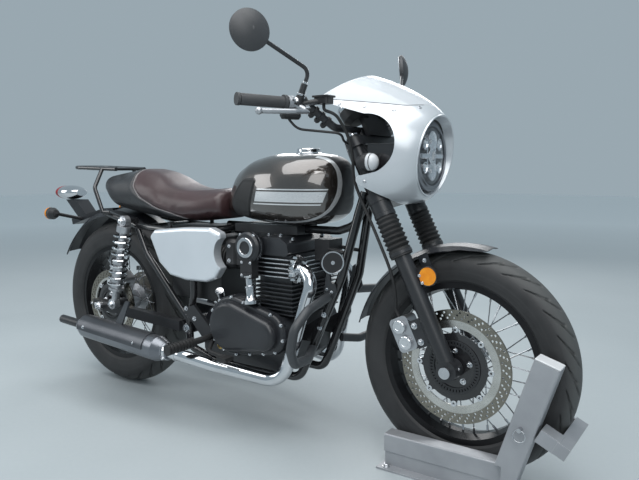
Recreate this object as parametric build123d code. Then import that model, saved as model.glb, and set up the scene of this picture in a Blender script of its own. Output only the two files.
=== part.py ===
from build123d import *
from math import asin, cos, degrees, pi, radians, sin, sqrt, tan
import os

# Driving sizes in millimetres and degrees: +X ahead, +Y to the rider's left, +Z up.
RAKE_DEG = 26.0
FORK_OFFSET = 55.0
FORK_HALF_SPAN = 105.0
YOKE_X = 565.814
YOKE_Z = 774.297
BEAD_R = 228.6
RIM_DEPTH = 21.6
FRONT_TYRE_DEPTH = 90.0
FRONT_TYRE_W = 103.0
REAR_TYRE_DEPTH = 104.0
REAR_TYRE_W = 131.0
SPOKES = 36
SPOKE_D = 3.6
AXLE_R = 10.0
RUNNING_FIT = 0.05
SEAT_GAP = 0.3

SLIDER_R = 24.0
FORK_TUBE_R = 20.5
SLIDER_TOP = 335.0
GAITER_BELOW_YOKE = 45.0
SHROUD_ABOVE_YOKE = 30.0
EAR_ABOVE_YOKE = 66.0
YOKE_SPACING = 172.0
BAR_RISE = 58.0
YOKE_T = 26.0
STEM_R = 15.0
HEAD_TUBE_R = 28.0

FRONT_DISC_R = 160.0
FRONT_DISC_Y = -68.0
REAR_DISC_R = 135.0
REAR_DISC_Y = -82.0
REAR_CALIPER_DEG = 57.0
HOSE_R = 4.5
CABLE_R = 3.5
CHAIN_Y = 86.0
CHAIN_W = 16.0
CHAIN_H = 12.0
CHAIN_PITCH = 16.0
CHAIN_PLATE = 3.0
CHAIN_SEAT = 1.5
REAR_SPROCKET_R = 93.0
FRONT_SPROCKET_R = 33.0
GEARBOX_SHAFT = (-110.0, 300.0)
SWINGARM_PIVOT = (-200.0, 308.0)
SWINGARM_LENGTH = 480.63
SWINGARM_Y = 119.0
SHOCK_FOOT = (112.55, 31.2)
SHOCK_PIN_R = 9.0
SPRING_FOOT = 72.0
FENDER_GAP = 47.4
TRAY_ROOM = 37.4
BRACKET_DROP = 62.9
FENDER_T = 3.0

LAMP_X = 685.0
LAMP_Z = 905.0
LAMP_R = 92.0
COWL_SKIN = 4.0
PANEL_Y = 128.0
SIGNAL_X = 560.0
SIGNAL_Z = 888.0
SIGNAL_STALK_R = 8.0
SIGNAL_OUTLINE = [(0, -34), (16, -28), (24, -10), (24, 16), (18, 22), (0, 24)]
BAR_R = 11.0
GRIP_R = 16.0
RESERVOIR = (450.0, -216.0, 1056.0)
RESERVOIR_H = 18.0
MIRROR_R = 54.0
MIRROR_CROWN = 18.0
PIPE_R = 21.0
COLLAR_R = 46.0
COLLAR_FINS = 16
GUARD_R = 14.0
RACK_R = 8.0
LAMP_LIFT = 59.4

SOLE_T = 6.0
SOLE_BACK = 209.0
SOLE_AHEAD = 131.0
SOLE_HALF_W = 135.0
BOLT_BACK = 40.0
BOLT_SPAN_X = 290.0
BOLT_SPAN_Y = 236.0
BOLT_R = 7.0
RAIL_W = 50.0
RAIL_Y = -84.0
RAIL_LOW = 48.0
RAIL_TOP = 100.0
RAIL_EDGE = 5.0
UPRIGHT_DEG = 17.5
UPRIGHT_W = 67.0
UPRIGHT_H = 388.0
UPRIGHT_BACK = 143.9
UPRIGHT_DROP = 119.1
CROSS_BAR = 34.0
CROSS_BAR_DEG = -25.7

# Places that follow from the sizes.
FRONT_TYRE_R = BEAD_R + FRONT_TYRE_DEPTH
REAR_TYRE_R = BEAD_R + REAR_TYRE_DEPTH
RIM_INNER_R = BEAD_R - RIM_DEPTH
FENDER_R = REAR_TYRE_R + FENDER_GAP
SIN_RAKE = sin(radians(RAKE_DEG))
COS_RAKE = cos(radians(RAKE_DEG))
FRONT_AXLE_Z = FRONT_TYRE_R + SOLE_T + SEAT_GAP
LOWER_YOKE_S = (YOKE_Z - FRONT_AXLE_Z) / COS_RAKE
FRONT_AXLE = Vector(YOKE_X + LOWER_YOKE_S * SIN_RAKE, 0, FRONT_AXLE_Z)
UPPER_YOKE_S = LOWER_YOKE_S + YOKE_SPACING
GAITER_TOP = LOWER_YOKE_S - GAITER_BELOW_YOKE
SHROUD_TOP = LOWER_YOKE_S + SHROUD_ABOVE_YOKE
EAR_S = LOWER_YOKE_S + EAR_ABOVE_YOKE
BAR_S = UPPER_YOKE_S + BAR_RISE
FORK = Plane(origin=FRONT_AXLE, x_dir=(COS_RAKE, 0, SIN_RAKE), z_dir=(-SIN_RAKE, 0, COS_RAKE))
ARM_RISE = REAR_TYRE_R - SWINGARM_PIVOT[1]
BRACKET_S = FRONT_TYRE_R - BRACKET_DROP
REAR_AXLE = Vector(SWINGARM_PIVOT[0] - sqrt(SWINGARM_LENGTH**2 - ARM_RISE**2), 0, REAR_TYRE_R)
PIVOT = Vector(SWINGARM_PIVOT[0], 0, SWINGARM_PIVOT[1])
ARM = Plane(origin=REAR_AXLE, x_dir=PIVOT - REAR_AXLE, z_dir=(0, -1, 0))


def fork(x, y, s):
    """World point from fork coordinates: ahead of the leg line, left, up the leg."""
    return FORK.from_local_coords(Vector(x, y, s))


def wheel_plane(axle):
    return Plane(origin=axle, x_dir=(1, 0, 0), z_dir=(0, 1, 0))


def rod(start, end, radius):
    run = Vector(*end) - Vector(*start)
    return Solid.make_cylinder(radius, run.length, Plane(origin=Vector(*start), z_dir=run))


def block(x0, x1, y0, y1, z0, z1):
    box = Box(x1 - x0, y1 - y0, z1 - z0)
    return Pos((x0 + x1) / 2, (y0 + y1) / 2, (z0 + z1) / 2) * box


def soft_tube(points, radius):
    """Cord along the points, each corner rounded as wide as its neighbours let it."""
    runs = [(b - a).length for a, b in zip(points, points[1:])]
    bends = []
    for index in range(1, len(points) - 1):
        before = points[index] - points[index - 1]
        turn = radians(before.get_angle(points[index + 1] - points[index]))
        bends.append(0.45 * min(runs[index - 1], runs[index]) / tan(turn / 2))
    return tube(points, radius, bends)


def tube(points, radius, bend):
    path = FilletPolyline(*points, radius=bend)
    return sweep(Plane(origin=path @ 0, z_dir=path % 0) * Circle(radius), path=path)


def turned(outline, plane):
    """Solid of revolution from (radius, height) corners about the plane's own axis."""
    corners = [(radius, 0, height) for radius, height in outline]
    face = make_face(Polyline(*corners, close=True))
    return plane.location * revolve(face, Axis.Z)


def slab(outline, y0, y1, corner=0.0):
    """Side-view (x, z) outline carried across from y0 to y1."""
    corners = [(x, 0, z) for x, z in outline]
    if corner:
        wire = FilletPolyline(*corners, radius=corner, close=True)
    else:
        wire = Polyline(*corners, close=True)
    solid = extrude(make_face(wire), amount=y1 - y0, dir=(0, 1, 0))
    return Pos(0, y0, 0) * solid


def other_side(shape):
    return shape.mirror(Plane.XZ)


def both_sides(shape):
    return [shape, other_side(shape)]


def leaf(outline, y0, y1, ahead=0.0):
    """Plate in the swingarm's own view: (ahead of the axle, above it) corners from y0 to y1."""
    corners = [ARM.from_local_coords(Vector(x + ahead, z, 0)) for x, z in outline]
    return slab([(spot.X, spot.Z) for spot in corners], min(y0, y1), max(y0, y1))


def from_crest(outline):
    """Side-view points told from the top of the rear guard."""
    return [(REAR_AXLE.X + dx, REAR_AXLE.Z + FENDER_R + dz) for dx, dz in outline]


def tyre(axle, radius, width):
    depth = radius - BEAD_R
    outline = []
    for deg in (-90, -60, -30, 0, 30, 60, 90):
        drop = 0.52 * depth * (1 - cos(radians(deg)))
        outline.append((radius - drop, width / 2 * sin(radians(deg))))
    outline.append((BEAD_R, 0.36 * width))
    outline.append((BEAD_R, -0.36 * width))
    return turned(outline, wheel_plane(axle))


def rim(axle, width):
    half = 0.36 * width
    right = [(BEAD_R - 0.3, -half), (BEAD_R + 6, -half - 5), (RIM_INNER_R + 8, -half - 5), (RIM_INNER_R, -12)]
    left = [(radius, -y) for radius, y in reversed(right)]
    return turned(right + left, wheel_plane(axle))


def spokes(axle, flange_r, flange_right, flange_left):
    step = 360.0 / SPOKES
    solids = []
    for index in range(SPOKES):
        lean = 1 if index % 4 < 2 else -1
        flange_y = (flange_right, flange_left)[index % 2] + 2.6 * lean
        rim_deg = radians(index * step)
        hub_deg = radians(index * step + 52 * lean)
        start = axle + Vector((flange_r - 5) * cos(hub_deg), flange_y, (flange_r - 5) * sin(hub_deg))
        end_r = RIM_INNER_R + 3
        end_y = (-6, 6)[index % 2]
        end = axle + Vector(end_r * cos(rim_deg), end_y, end_r * sin(rim_deg))
        run = end - start
        solids.append(Solid.make_box(SPOKE_D, SPOKE_D, run.length, Plane(origin=start, z_dir=run)))
    return solids


def brake_disc(axle, radius, y, hub_face_y, hub_r, inner):
    plane = wheel_plane(axle)
    ring = turned([(inner, y - 2.5), (radius, y - 2.5), (radius, y + 2.5), (inner, y + 2.5)], plane)
    carrier_r = inner - 7
    carrier = turned([(hub_r, y), (carrier_r, y), (carrier_r, hub_face_y), (hub_r, hub_face_y)], plane)
    solid = ring + carrier
    for index in range(8):
        turn = radians(index * 45)
        spot = axle + Vector((inner - 3) * cos(turn), y - 3, (inner - 3) * sin(turn))
        solid = solid + rod(spot, spot + Vector(0, 6, 0), 9)
    return solid


def front_hub():
    bore = AXLE_R + RUNNING_FIT
    outline = [(bore, -62), (38, -62), (38, -52), (56, -48), (56, -40), (27, -32)]
    outline += [(27, 32), (50, 40), (50, 48), (30, 54), (30, 66), (bore, 66)]
    return turned(outline, wheel_plane(FRONT_AXLE))


def rear_hub():
    bore = AXLE_R + RUNNING_FIT
    outline = [(bore, -76), (42, -76), (42, -54), (62, -50), (62, -42), (36, -34)]
    outline += [(36, 34), (62, 42), (62, 50), (50, 56), (50, 80), (bore, 80)]
    return turned(outline, wheel_plane(REAR_AXLE))


def rear_sprocket():
    y0 = CHAIN_Y - 4
    y1 = CHAIN_Y + 4
    outline = [(22, 80), (60, 80), (60, y0), (REAR_SPROCKET_R, y0), (REAR_SPROCKET_R, y1), (22, y1)]
    return turned(outline, wheel_plane(REAR_AXLE))


def drive_chain():
    """One closed loop of roller strip round both sprockets, with side plates on its straight runs."""
    front = Vector(GEARBOX_SHAFT[0], 0, GEARBOX_SHAFT[1])
    r_rear = REAR_SPROCKET_R + CHAIN_SEAT + CHAIN_H / 2
    r_front = FRONT_SPROCKET_R + CHAIN_SEAT + CHAIN_H / 2
    run = front - REAR_AXLE
    flare = degrees(asin((r_rear - r_front) / run.length))
    hulls = []
    for grow in (CHAIN_H / 2, -CHAIN_H / 2):
        big = Pos(0, 0) * Circle(r_rear + grow)
        small = Pos(run.length, 0) * Circle(r_front + grow)
        hulls.append(make_hull(big.edges() + small.edges()))
    strip = extrude(hulls[0] - hulls[1], amount=CHAIN_W / 2 - CHAIN_PLATE, both=True)
    links = []
    straight = sqrt(run.length**2 - (r_rear - r_front) ** 2)
    count = int(straight / CHAIN_PITCH)
    for sense in (1, -1):
        turn = 90 - flare
        start = Vector(r_rear * cos(radians(turn)), sense * r_rear * sin(radians(turn)), 0)
        course = Vector(cos(radians(-flare)), sense * sin(radians(-flare)), 0)
        for index in range(0, count, 2):
            spot = start + course * (CHAIN_PITCH * (index + 0.5))
            place = Location((spot.X, spot.Y, 0), (0, 0, -sense * flare))
            links.append(place * Box(CHAIN_PITCH * 0.96, CHAIN_H + 3, CHAIN_W))
    loop = strip.fuse(*links)
    frame = Plane(origin=REAR_AXLE + Vector(0, CHAIN_Y, 0), x_dir=run.normalized(), z_dir=(0, -1, 0))
    return frame.location * loop


def chock_base():
    back = FRONT_AXLE.X - SOLE_BACK
    sole = block(back, FRONT_AXLE.X + SOLE_AHEAD, -SOLE_HALF_W, SOLE_HALF_W, 0, SOLE_T)
    middle = FRONT_AXLE.X - BOLT_BACK
    for x in (middle - BOLT_SPAN_X / 2, middle + BOLT_SPAN_X / 2):
        for y in (-BOLT_SPAN_Y / 2, BOLT_SPAN_Y / 2):
            sole = sole - rod((x, y, -1), (x, y, SOLE_T + 1), BOLT_R)
    half = RAIL_W / 2
    rail_back = back + 12
    rail_end = upright_plane().origin.X - 4
    beam = block(rail_back + 2, rail_end - 8, RAIL_Y - half + 3, RAIL_Y + half - 3, SOLE_T, RAIL_LOW)
    rail = block(rail_back, rail_end, RAIL_Y - half, RAIL_Y + half, RAIL_LOW, RAIL_TOP)
    rail = fillet(rail.edges().filter_by(Axis.X).sort_by(Axis.Z)[-2:], RAIL_EDGE)
    profile = [(0, SOLE_T), (58, SOLE_T), (52, 14), (22, 40), (0, 40)]
    stop = slab([(rail_back + dx, z) for dx, z in profile], RAIL_Y + half - 3, 60)
    return sole + beam + rail + stop


def upright_plane():
    """Plane of the leaning post, its Z up the post, set back from the cross bar that it carries."""
    lean = radians(UPRIGHT_DEG)
    bar = cross_bar_plane().origin
    origin = (bar.X - UPRIGHT_BACK, RAIL_Y - 16, bar.Z - UPRIGHT_DROP)
    return Plane(origin=origin, x_dir=(cos(lean), 0, -sin(lean)), z_dir=(sin(lean), 0, cos(lean)))


def chock_upright():
    plane = upright_plane()
    post = Pos(0, 0, UPRIGHT_H / 2 - 44) * Box(UPRIGHT_W, RAIL_W, UPRIGHT_H)
    post = fillet(post.edges().filter_by(Axis.Z), RAIL_EDGE)
    foot = plane.origin.X
    ground = block(foot - 300, foot + 300, -200, 0, SOLE_T, 600)
    rail_end = block(foot - 300, foot - 4 + SEAT_GAP, -200, 0, 0, RAIL_TOP + SEAT_GAP)
    return (plane.location * post & ground) - rail_end


def cross_bar_plane():
    turn = radians(CROSS_BAR_DEG)
    reach = FRONT_TYRE_R + 0.5 + CROSS_BAR / 2
    spot = FRONT_AXLE + Vector(reach * cos(turn), 0, reach * sin(turn))
    return Plane(origin=spot, x_dir=(cos(turn), 0, sin(turn)), z_dir=(0, 1, 0))


def chock_cross_bar():
    """Bar across the tyre's front, with the stub that slides into the post and a paddle on the far side."""
    plane = cross_bar_plane()
    bar = plane.location * (Pos(0, 0, -28) * Box(CROSS_BAR, CROSS_BAR, 196))
    stub = plane.location * (Pos(-38, 0, -101) * Box(50, CROSS_BAR + 3, 48))
    paddle = plane.location * (Pos(-36, 8, 66) * Box(80, 40, 8))
    post = upright_plane().location * (Pos(-50, 0, 172) * Box(UPRIGHT_W + 100 + 2 * SEAT_GAP, 90, 400))
    return bar + (stub - post) + paddle


def front_axle():
    shaft = rod(FRONT_AXLE + Vector(0, -134, 0), FRONT_AXLE + Vector(0, 134, 0), AXLE_R)
    spacer_r = rod(FRONT_AXLE + Vector(0, -79.7, 0), FRONT_AXLE + Vector(0, -69.5, 0), 17)
    spacer_l = rod(FRONT_AXLE + Vector(0, 66.3, 0), FRONT_AXLE + Vector(0, 79.7, 0), 17)
    nut_r = rod(FRONT_AXLE + Vector(0, -142, 0), FRONT_AXLE + Vector(0, -130.3, 0), 16)
    nut_l = rod(FRONT_AXLE + Vector(0, 130.3, 0), FRONT_AXLE + Vector(0, 142, 0), 16)
    return shaft + spacer_r + spacer_l + nut_r + nut_l


def fork_sliders():
    legs = []
    for side in (-1, 1):
        y = side * FORK_HALF_SPAN
        leg = rod((0, y, -10), (0, y, SLIDER_TOP), SLIDER_R)
        leg = leg + rod((0, y - 25, 0), (0, y + 25, 0), 29)
        leg = leg + Pos(28, y - side * 8, BRACKET_S) * Box(60, 14, 46)
        if side < 0:
            leg = leg + Pos(-33, y, 120) * Box(50, 16, 80)
        leg = leg - rod((0, y - 60, 0), (0, y + 60, 0), AXLE_R + RUNNING_FIT)
        legs.append(FORK.location * leg)
    return legs


def fork_gaiters():
    folds = 7
    cuff = 25
    pitch = (GAITER_TOP - SLIDER_TOP - cuff) / folds
    bore = FORK_TUBE_R + SEAT_GAP
    outline = [(bore, SLIDER_TOP + SEAT_GAP), (32, SLIDER_TOP + SEAT_GAP), (32, SLIDER_TOP + cuff - 3)]
    for index in range(folds):
        start = SLIDER_TOP + cuff + index * pitch
        outline.append((28, start))
        outline.append((35 - 0.4 * index, start + pitch / 2))
    outline.append((28, GAITER_TOP))
    outline.append((bore, GAITER_TOP))
    shapes = []
    for side in (-1, 1):
        plane = Plane(origin=fork(0, side * FORK_HALF_SPAN, 0), x_dir=(0, 1, 0), z_dir=FORK.z_dir)
        shapes.append(turned(outline, plane))
    return shapes


def fork_yokes():
    span = FORK_HALF_SPAN
    solid = rod((-FORK_OFFSET, 0, LOWER_YOKE_S), (-FORK_OFFSET, 0, UPPER_YOKE_S + 36), STEM_R - RUNNING_FIT)
    for level, lug_r in ((LOWER_YOKE_S, 32), (UPPER_YOKE_S, 29)):
        plate = make_hull(
            (Pos(0, span) * Circle(lug_r)).edges()
            + (Pos(0, -span) * Circle(lug_r)).edges()
            + (Pos(-FORK_OFFSET, 0) * Circle(34)).edges()
        )
        solid = solid + Pos(0, 0, level) * extrude(plate, amount=YOKE_T)
    solid = solid + rod((-FORK_OFFSET, 0, UPPER_YOKE_S), (-FORK_OFFSET, 0, UPPER_YOKE_S + 40), 18)
    for side in (-1, 1):
        y = side * span
        solid = solid + rod((0, y, SLIDER_TOP + SEAT_GAP), (0, y, UPPER_YOKE_S + 34), FORK_TUBE_R)
        solid = solid + rod((0, y, GAITER_TOP + SEAT_GAP), (0, y, SHROUD_TOP), 30)
        solid = solid + rod((0, side * 48, UPPER_YOKE_S), (0, side * 48, BAR_S + 4), 16)
    ear_room = FORK.location.inverse() * cowl_loft(COWL_SKIN + SEAT_GAP)
    for side in (-1, 1):
        ear = rod((12, side * (span + 3), EAR_S), (12, side * (span + 95), EAR_S), 9)
        solid = solid + (ear & ear_room)
    solid = solid - rod((0, -90, BAR_S), (0, 90, BAR_S), BAR_R + RUNNING_FIT)
    return FORK.location * solid


def front_fender():
    """Rounded guard about the tyre, its skirts cut away to a point at the front."""
    inner = [(-0.6, 66), (11.4, 40), (16.4, 0), (11.4, -40), (-0.6, -66)]
    inner = [(FRONT_TYRE_R + rise, -y) for rise, y in inner]
    outer = [(radius + FENDER_T, y * 1.04) for radius, y in inner]
    corners = [(radius, 0, y) for radius, y in inner + outer[::-1]]
    face = make_face(Polyline(*corners, close=True))
    arc = revolve(face, Axis.Z, revolution_arc=88)
    guard = wheel_plane(FRONT_AXLE).location * (Rot(0, 0, -165) * arc)
    wedge = []
    for deg, rise in ((116, -6), (103, -1), (90, 6), (76, 14), (62, -10), (90, -60)):
        turn = radians(deg)
        reach = FRONT_TYRE_R + rise
        wedge.append((FRONT_AXLE.X + reach * cos(turn), FRONT_AXLE.Z + reach * sin(turn)))
    guard = guard - slab(wedge, -100, 100)
    for side in (-1, 1):
        plate = Pos(42, side * 70, BRACKET_S + 24) * Box(30, 6, 80)
        arm = Pos(42, side * (FORK_HALF_SPAN - 23.7), BRACKET_S) * Box(30, 17, 30)
        guard = guard + FORK.location * (plate + arm)
    return guard


def front_reflectors():
    shapes = []
    for side in (-1, 1):
        y = side * (FORK_HALF_SPAN - 1 + 0.3)
        shapes.append(FORK.location * rod((52, y, BRACKET_S), (52, y + side * 9, BRACKET_S), 26))
    return shapes


def front_caliper():
    """Two-piston caliper over the disc's rear edge, with its lug to the right slider."""
    reach = FRONT_DISC_R * 0.59
    body = Pos(-reach, FRONT_DISC_Y - 5.5, 132) * Box(60, 55, 100)
    body = fillet(body.edges().filter_by(Axis.Y), 14)
    for rise in (108, 156):
        body = body + rod((-reach - 2, FRONT_DISC_Y - 42, rise), (-reach - 2, FRONT_DISC_Y - 20, rise), 21)
    slot = rod((0, FRONT_DISC_Y - 9, 0), (0, FRONT_DISC_Y + 9, 0), FRONT_DISC_R + 6)
    ear = Pos(-62, -FORK_HALF_SPAN + 14.3, 120) * Box(60, 12, 76)
    leg = rod((0, -FORK_HALF_SPAN, 0), (0, -FORK_HALF_SPAN, 300), SLIDER_R + SEAT_GAP)
    return FORK.location * ((body + ear) - slot - leg)


COWL_STATIONS = [
    # x, half width, lowest z, highest z, lower corner radius, forward tilt
    (684.0, 118.0, 787.0, 1023.0, 117.5, 9.0),
    (646.0, 149.0, 772.0, 1064.0, 118.0, 4.0),
    (580.0, 176.0, 764.0, 1108.0, 118.0, 0.0),
    (436.0, 196.0, 764.0, 1157.0, 118.0, 0.0),
    (384.0, 201.0, 764.0, 1168.0, 118.0, 0.0),
]
SCREEN_BASE = [(760, 1056), (640, 1042), (392, 1071)]


def cowl_loft(skin):
    """Closed bowl through the stations: half-round crown, upright sides, rounded chin."""
    sections = []
    for x, half, low, high, corner, tilt in COWL_STATIONS:
        middle = high - half
        crown = half - skin
        chin = middle - low - skin
        bend = corner - skin
        edges = [
            ThreePointArc((-crown, 0), (0, crown), (crown, 0)),
            Line((crown, 0), (crown, bend - chin)),
            RadiusArc((crown, bend - chin), (crown - bend, -chin), bend),
            Line((crown - bend, -chin), (bend - crown, -chin)),
            RadiusArc((bend - crown, -chin), (-crown, bend - chin), bend),
            Line((-crown, bend - chin), (-crown, 0)),
        ]
        lean = radians(tilt)
        plane = Plane(origin=(x, 0, middle), x_dir=(0, 1, 0), z_dir=(cos(lean), 0, -sin(lean)))
        sections.append(plane * make_face(edges))
    return loft(sections)


def cowl_skin():
    return cowl_loft(0.0) - cowl_loft(COWL_SKIN)


def cowl_side():
    """Side-view face that keeps the cowl: open behind, with a curved cut round the signal."""
    flat = Plane.XZ
    edges = [
        Polyline(*SCREEN_BASE, (456, 1047), (548, 1020)),
        ThreePointArc((548, 1020), (636, 930), (590, 862)),
        Line((590, 862), (548, 852)),
        ThreePointArc((548, 852), (530, 838), (541, 823)),
        Polyline((541, 823), (600, 788), (640, 740), (760, 740), SCREEN_BASE[0]),
    ]
    return flat * make_face(edges)


def fairing():
    shell = cowl_skin() & extrude(cowl_side(), amount=300, both=True)
    lean = radians(COWL_STATIONS[0][-1])
    rim = (COWL_STATIONS[0][0], 0, LAMP_Z)
    lip_plane = Plane(origin=rim, x_dir=(0, 1, 0), z_dir=(cos(lean), 0, -sin(lean)))
    lip = turned([(117.5, -4), (116, 5), (112, 4), (101, -20), (105, -22)], lip_plane)
    return shell + lip


def windscreen():
    front = [(x, z + SEAT_GAP) for x, z in SCREEN_BASE]
    keep = slab(front + [(399, 1071 + SEAT_GAP), (492, 1144), (530, 1200), (760, 1200)], -300, 300)
    return cowl_skin() & keep


LAMP_PLANE = Plane(origin=(LAMP_X, 0, LAMP_Z), x_dir=(0, 1, 0), z_dir=(1, 0, 0))


def headlamp():
    """Lamp bowl, the brackets that carry it and the dark panels that close the cowl's sides."""
    outline = [(0, -112), (40, -108), (80, -56), (LAMP_R, -36), (LAMP_R, -12), (84, -8), (84, -20), (0, -20)]
    bowl = turned(outline, LAMP_PLANE)
    near = LAMP_R + 0.4
    arm = slab([(543, 872), (600, 872), (658, 888), (658, 922), (600, 938), (511, 938)], near, near + 5.6)
    panel = slab([(541, 866), (572, 853), (612, 872), (634, 906), (634, 938), (541, 938)], PANEL_Y, PANEL_Y + 4)
    post = rod((600, near, 905), (600, PANEL_Y + 1, 905), 12)
    hole = rod((SIGNAL_X, near - 1, SIGNAL_Z), (SIGNAL_X, PANEL_Y + 20, SIGNAL_Z), SIGNAL_STALK_R + SEAT_GAP)
    return [bowl] + both_sides((panel + post - hole) + arm)


def headlamp_lens():
    return turned([(0, -19.7), (83.7, -19.7), (83.7, -12), (60, -4), (30, 0), (0, 1)], LAMP_PLANE)


def bar_route(side):
    """Corner points of one half of the handlebar, from the clamps to the bar end."""
    base = fork(0, 0, BAR_S)
    return [
        Vector(base.X, 0, base.Z),
        Vector(base.X, side * 82, base.Z),
        Vector(452, side * 165, base.Z + 4),
        Vector(408, side * 235, 1047),
        Vector(319, side * 416, 1052),
    ]


def bar_rod(radius):
    right = bar_route(-1)
    left = bar_route(1)
    return tube(right[:0:-1] + left[1:], radius, 34)


def handlebar():
    return bar_rod(BAR_R)


def along_grip(side, share):
    route = bar_route(side)
    return route[3] + (route[4] - route[3]) * share


def grips():
    shapes = []
    for side in (-1, 1):
        start = along_grip(side, 0.33)
        end = along_grip(side, 0.995)
        core = rod(along_grip(side, 0.2), along_grip(side, 1.1), BAR_R + 0.05)
        sleeve = rod(start, end, GRIP_R) + rod(start, along_grip(side, 0.37), GRIP_R + 5)
        shapes.append(sleeve - core)
        shapes.append(rod(along_grip(side, 1.003), along_grip(side, 1.04), GRIP_R + 1))
    return shapes


def mirror_seat(side):
    """Foot of the mirror's stem on its perch, and the stem's first heading."""
    root = along_grip(side, 0.2) + Vector(24, side * 4, 17.3)
    return root, (mirror_heel(side) - root).normalized()


def mirror_heel(side):
    return Vector(436, side * 264, 1132)


def levers():
    """Perch and ball-ended lever on each side, and the brake's square reservoir on the right."""
    shapes = []
    for side in (-1, 1):
        perch = rod(along_grip(side, 0.18), along_grip(side, 0.31), 19)
        root = along_grip(side, 0.2) + Vector(44, 0, -24)
        knuckle = along_grip(side, 0.45) + Vector(58, 0, -28)
        tip = along_grip(side, 0.93) + Vector(50, 0, -32)
        arm = rod(along_grip(side, 0.24) + Vector(14, 0, -6), root, 9)
        blade = tube([root, knuckle, tip], 7, 20) + Pos(tip.X, tip.Y, tip.Z) * Sphere(10)
        stem_foot, rise = mirror_seat(side)
        boss = rod(stem_foot - rise * 26, stem_foot - rise * SEAT_GAP, 11)
        shapes.append(perch + arm + boss + blade)
    cup = Pos(*RESERVOIR) * Box(46, 38, RESERVOIR_H)
    cup = fillet(cup.edges().filter_by(Axis.Z), 8)
    lid = Pos(RESERVOIR[0], RESERVOIR[1], RESERVOIR[2] + RESERVOIR_H / 2 + 2) * Box(50, 42, 5)
    neck = rod(along_grip(-1, 0.2) + Vector(14, 0, -4), Vector(*RESERVOIR), 8)
    shapes[0] = shapes[0] + cup + lid + neck
    core = bar_rod(BAR_R + RUNNING_FIT)
    return [shape - core for shape in shapes]


def mirrors():
    """Round domed heads on bent stems, each stem rising from a sleeve on its lever's perch."""
    dome_r = (MIRROR_R**2 + MIRROR_CROWN**2) / (2 * MIRROR_CROWN)
    half = MIRROR_R / 2
    mid = (half, 0, MIRROR_CROWN - dome_r + sqrt(dome_r**2 - half**2))
    rim = (MIRROR_R, 0, 0)
    crown = (0, 0, MIRROR_CROWN)
    edge = Polyline(crown, (0, 0, -14), (MIRROR_R - 4, 0, -14), (MIRROR_R, 0, -8), rim)
    shell = revolve(make_face([edge, ThreePointArc(rim, mid, crown)]), Axis.Z)
    shapes = []
    for side in (-1, 1):
        root, rise = mirror_seat(side)
        heel = mirror_heel(side)
        head = Vector(364, side * 420, 1222)
        sleeve = rod(root, root + rise * 34, 9)
        stem = tube([root, heel, head - Vector(-6, side * 20, 12)], 5.5, 25)
        plane = Plane(origin=head, x_dir=(0, 0, 1), z_dir=(1, side * 0.5, 0.1))
        shapes.append(sleeve + stem + plane.location * shell)
    return shapes


def instruments():
    shapes = None
    for side in (-1, 1):
        base = fork(16, side * 52, UPPER_YOKE_S + 64)
        plane = Plane(origin=base, x_dir=(0, 1, 0), z_dir=(-0.55, 0, 0.83))
        dial = turned([(0, 18), (30, 18), (44, 34), (44, 72), (40, 74), (0, 74)], plane)
        shapes = dial if shapes is None else shapes + dial
    tray = FORK.location * (Pos(28, 0, UPPER_YOKE_S + YOKE_T + 40) * Box(14, 130, 79.4))
    return shapes + tray


def front_signals():
    shapes = []
    for side in (-1, 1):
        stalk = rod((SIGNAL_X, side * (LAMP_R + 6.3), SIGNAL_Z), (SIGNAL_X, side * 158, SIGNAL_Z), SIGNAL_STALK_R)
        plane = Plane(origin=(SIGNAL_X, side * 166, SIGNAL_Z), x_dir=(0, 1, 0), z_dir=(1, 0, 0))
        shapes.append(stalk + turned(SIGNAL_OUTLINE, plane))
    return shapes


def front_brake_hose():
    """Hose from the reservoir, ahead of the bar and down behind the right leg to the caliper."""
    foot = Vector(*RESERVOIR) - Vector(0, 0, RESERVOIR_H / 2 + SEAT_GAP)
    leg = -FORK_HALF_SPAN
    route = [(24, leg - 85, 762), (20, leg - 57, 706), (0, leg - 42, 646), (-36, leg - 26, 592)]
    route += [(-43, leg - 18, 524), (-42, leg - 15, 452), (-42, leg - 15, 384), (-43, leg - 14, 318)]
    route += [(-60, leg - 3, 254)]
    route += [(-FRONT_DISC_R * 0.59, -86, 204), (-FRONT_DISC_R * 0.59, -86, 182.3)]
    points = [foot, foot - Vector(0, 0, 16)] + [fork(*spot) for spot in route]
    return soft_tube(points, HOSE_R)


def control_cables():
    """Throttle and clutch cables, looped from each perch to the upper yoke."""
    lug = fork(0, -FORK_HALF_SPAN - 29 - SEAT_GAP, UPPER_YOKE_S + YOKE_T / 2)
    perch = along_grip(-1, 0.29)
    points = [
        perch - Vector(0, 0, 19.3),
        perch + Vector(-2, 1, -42),
        perch + Vector(14, 22, -70),
        lug + Vector(12, -66, 26),
        lug - Vector(0, 34, -6),
        lug - Vector(0, 12, 0),
        lug,
    ]
    return both_sides(soft_tube(points, CABLE_R))


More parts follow.
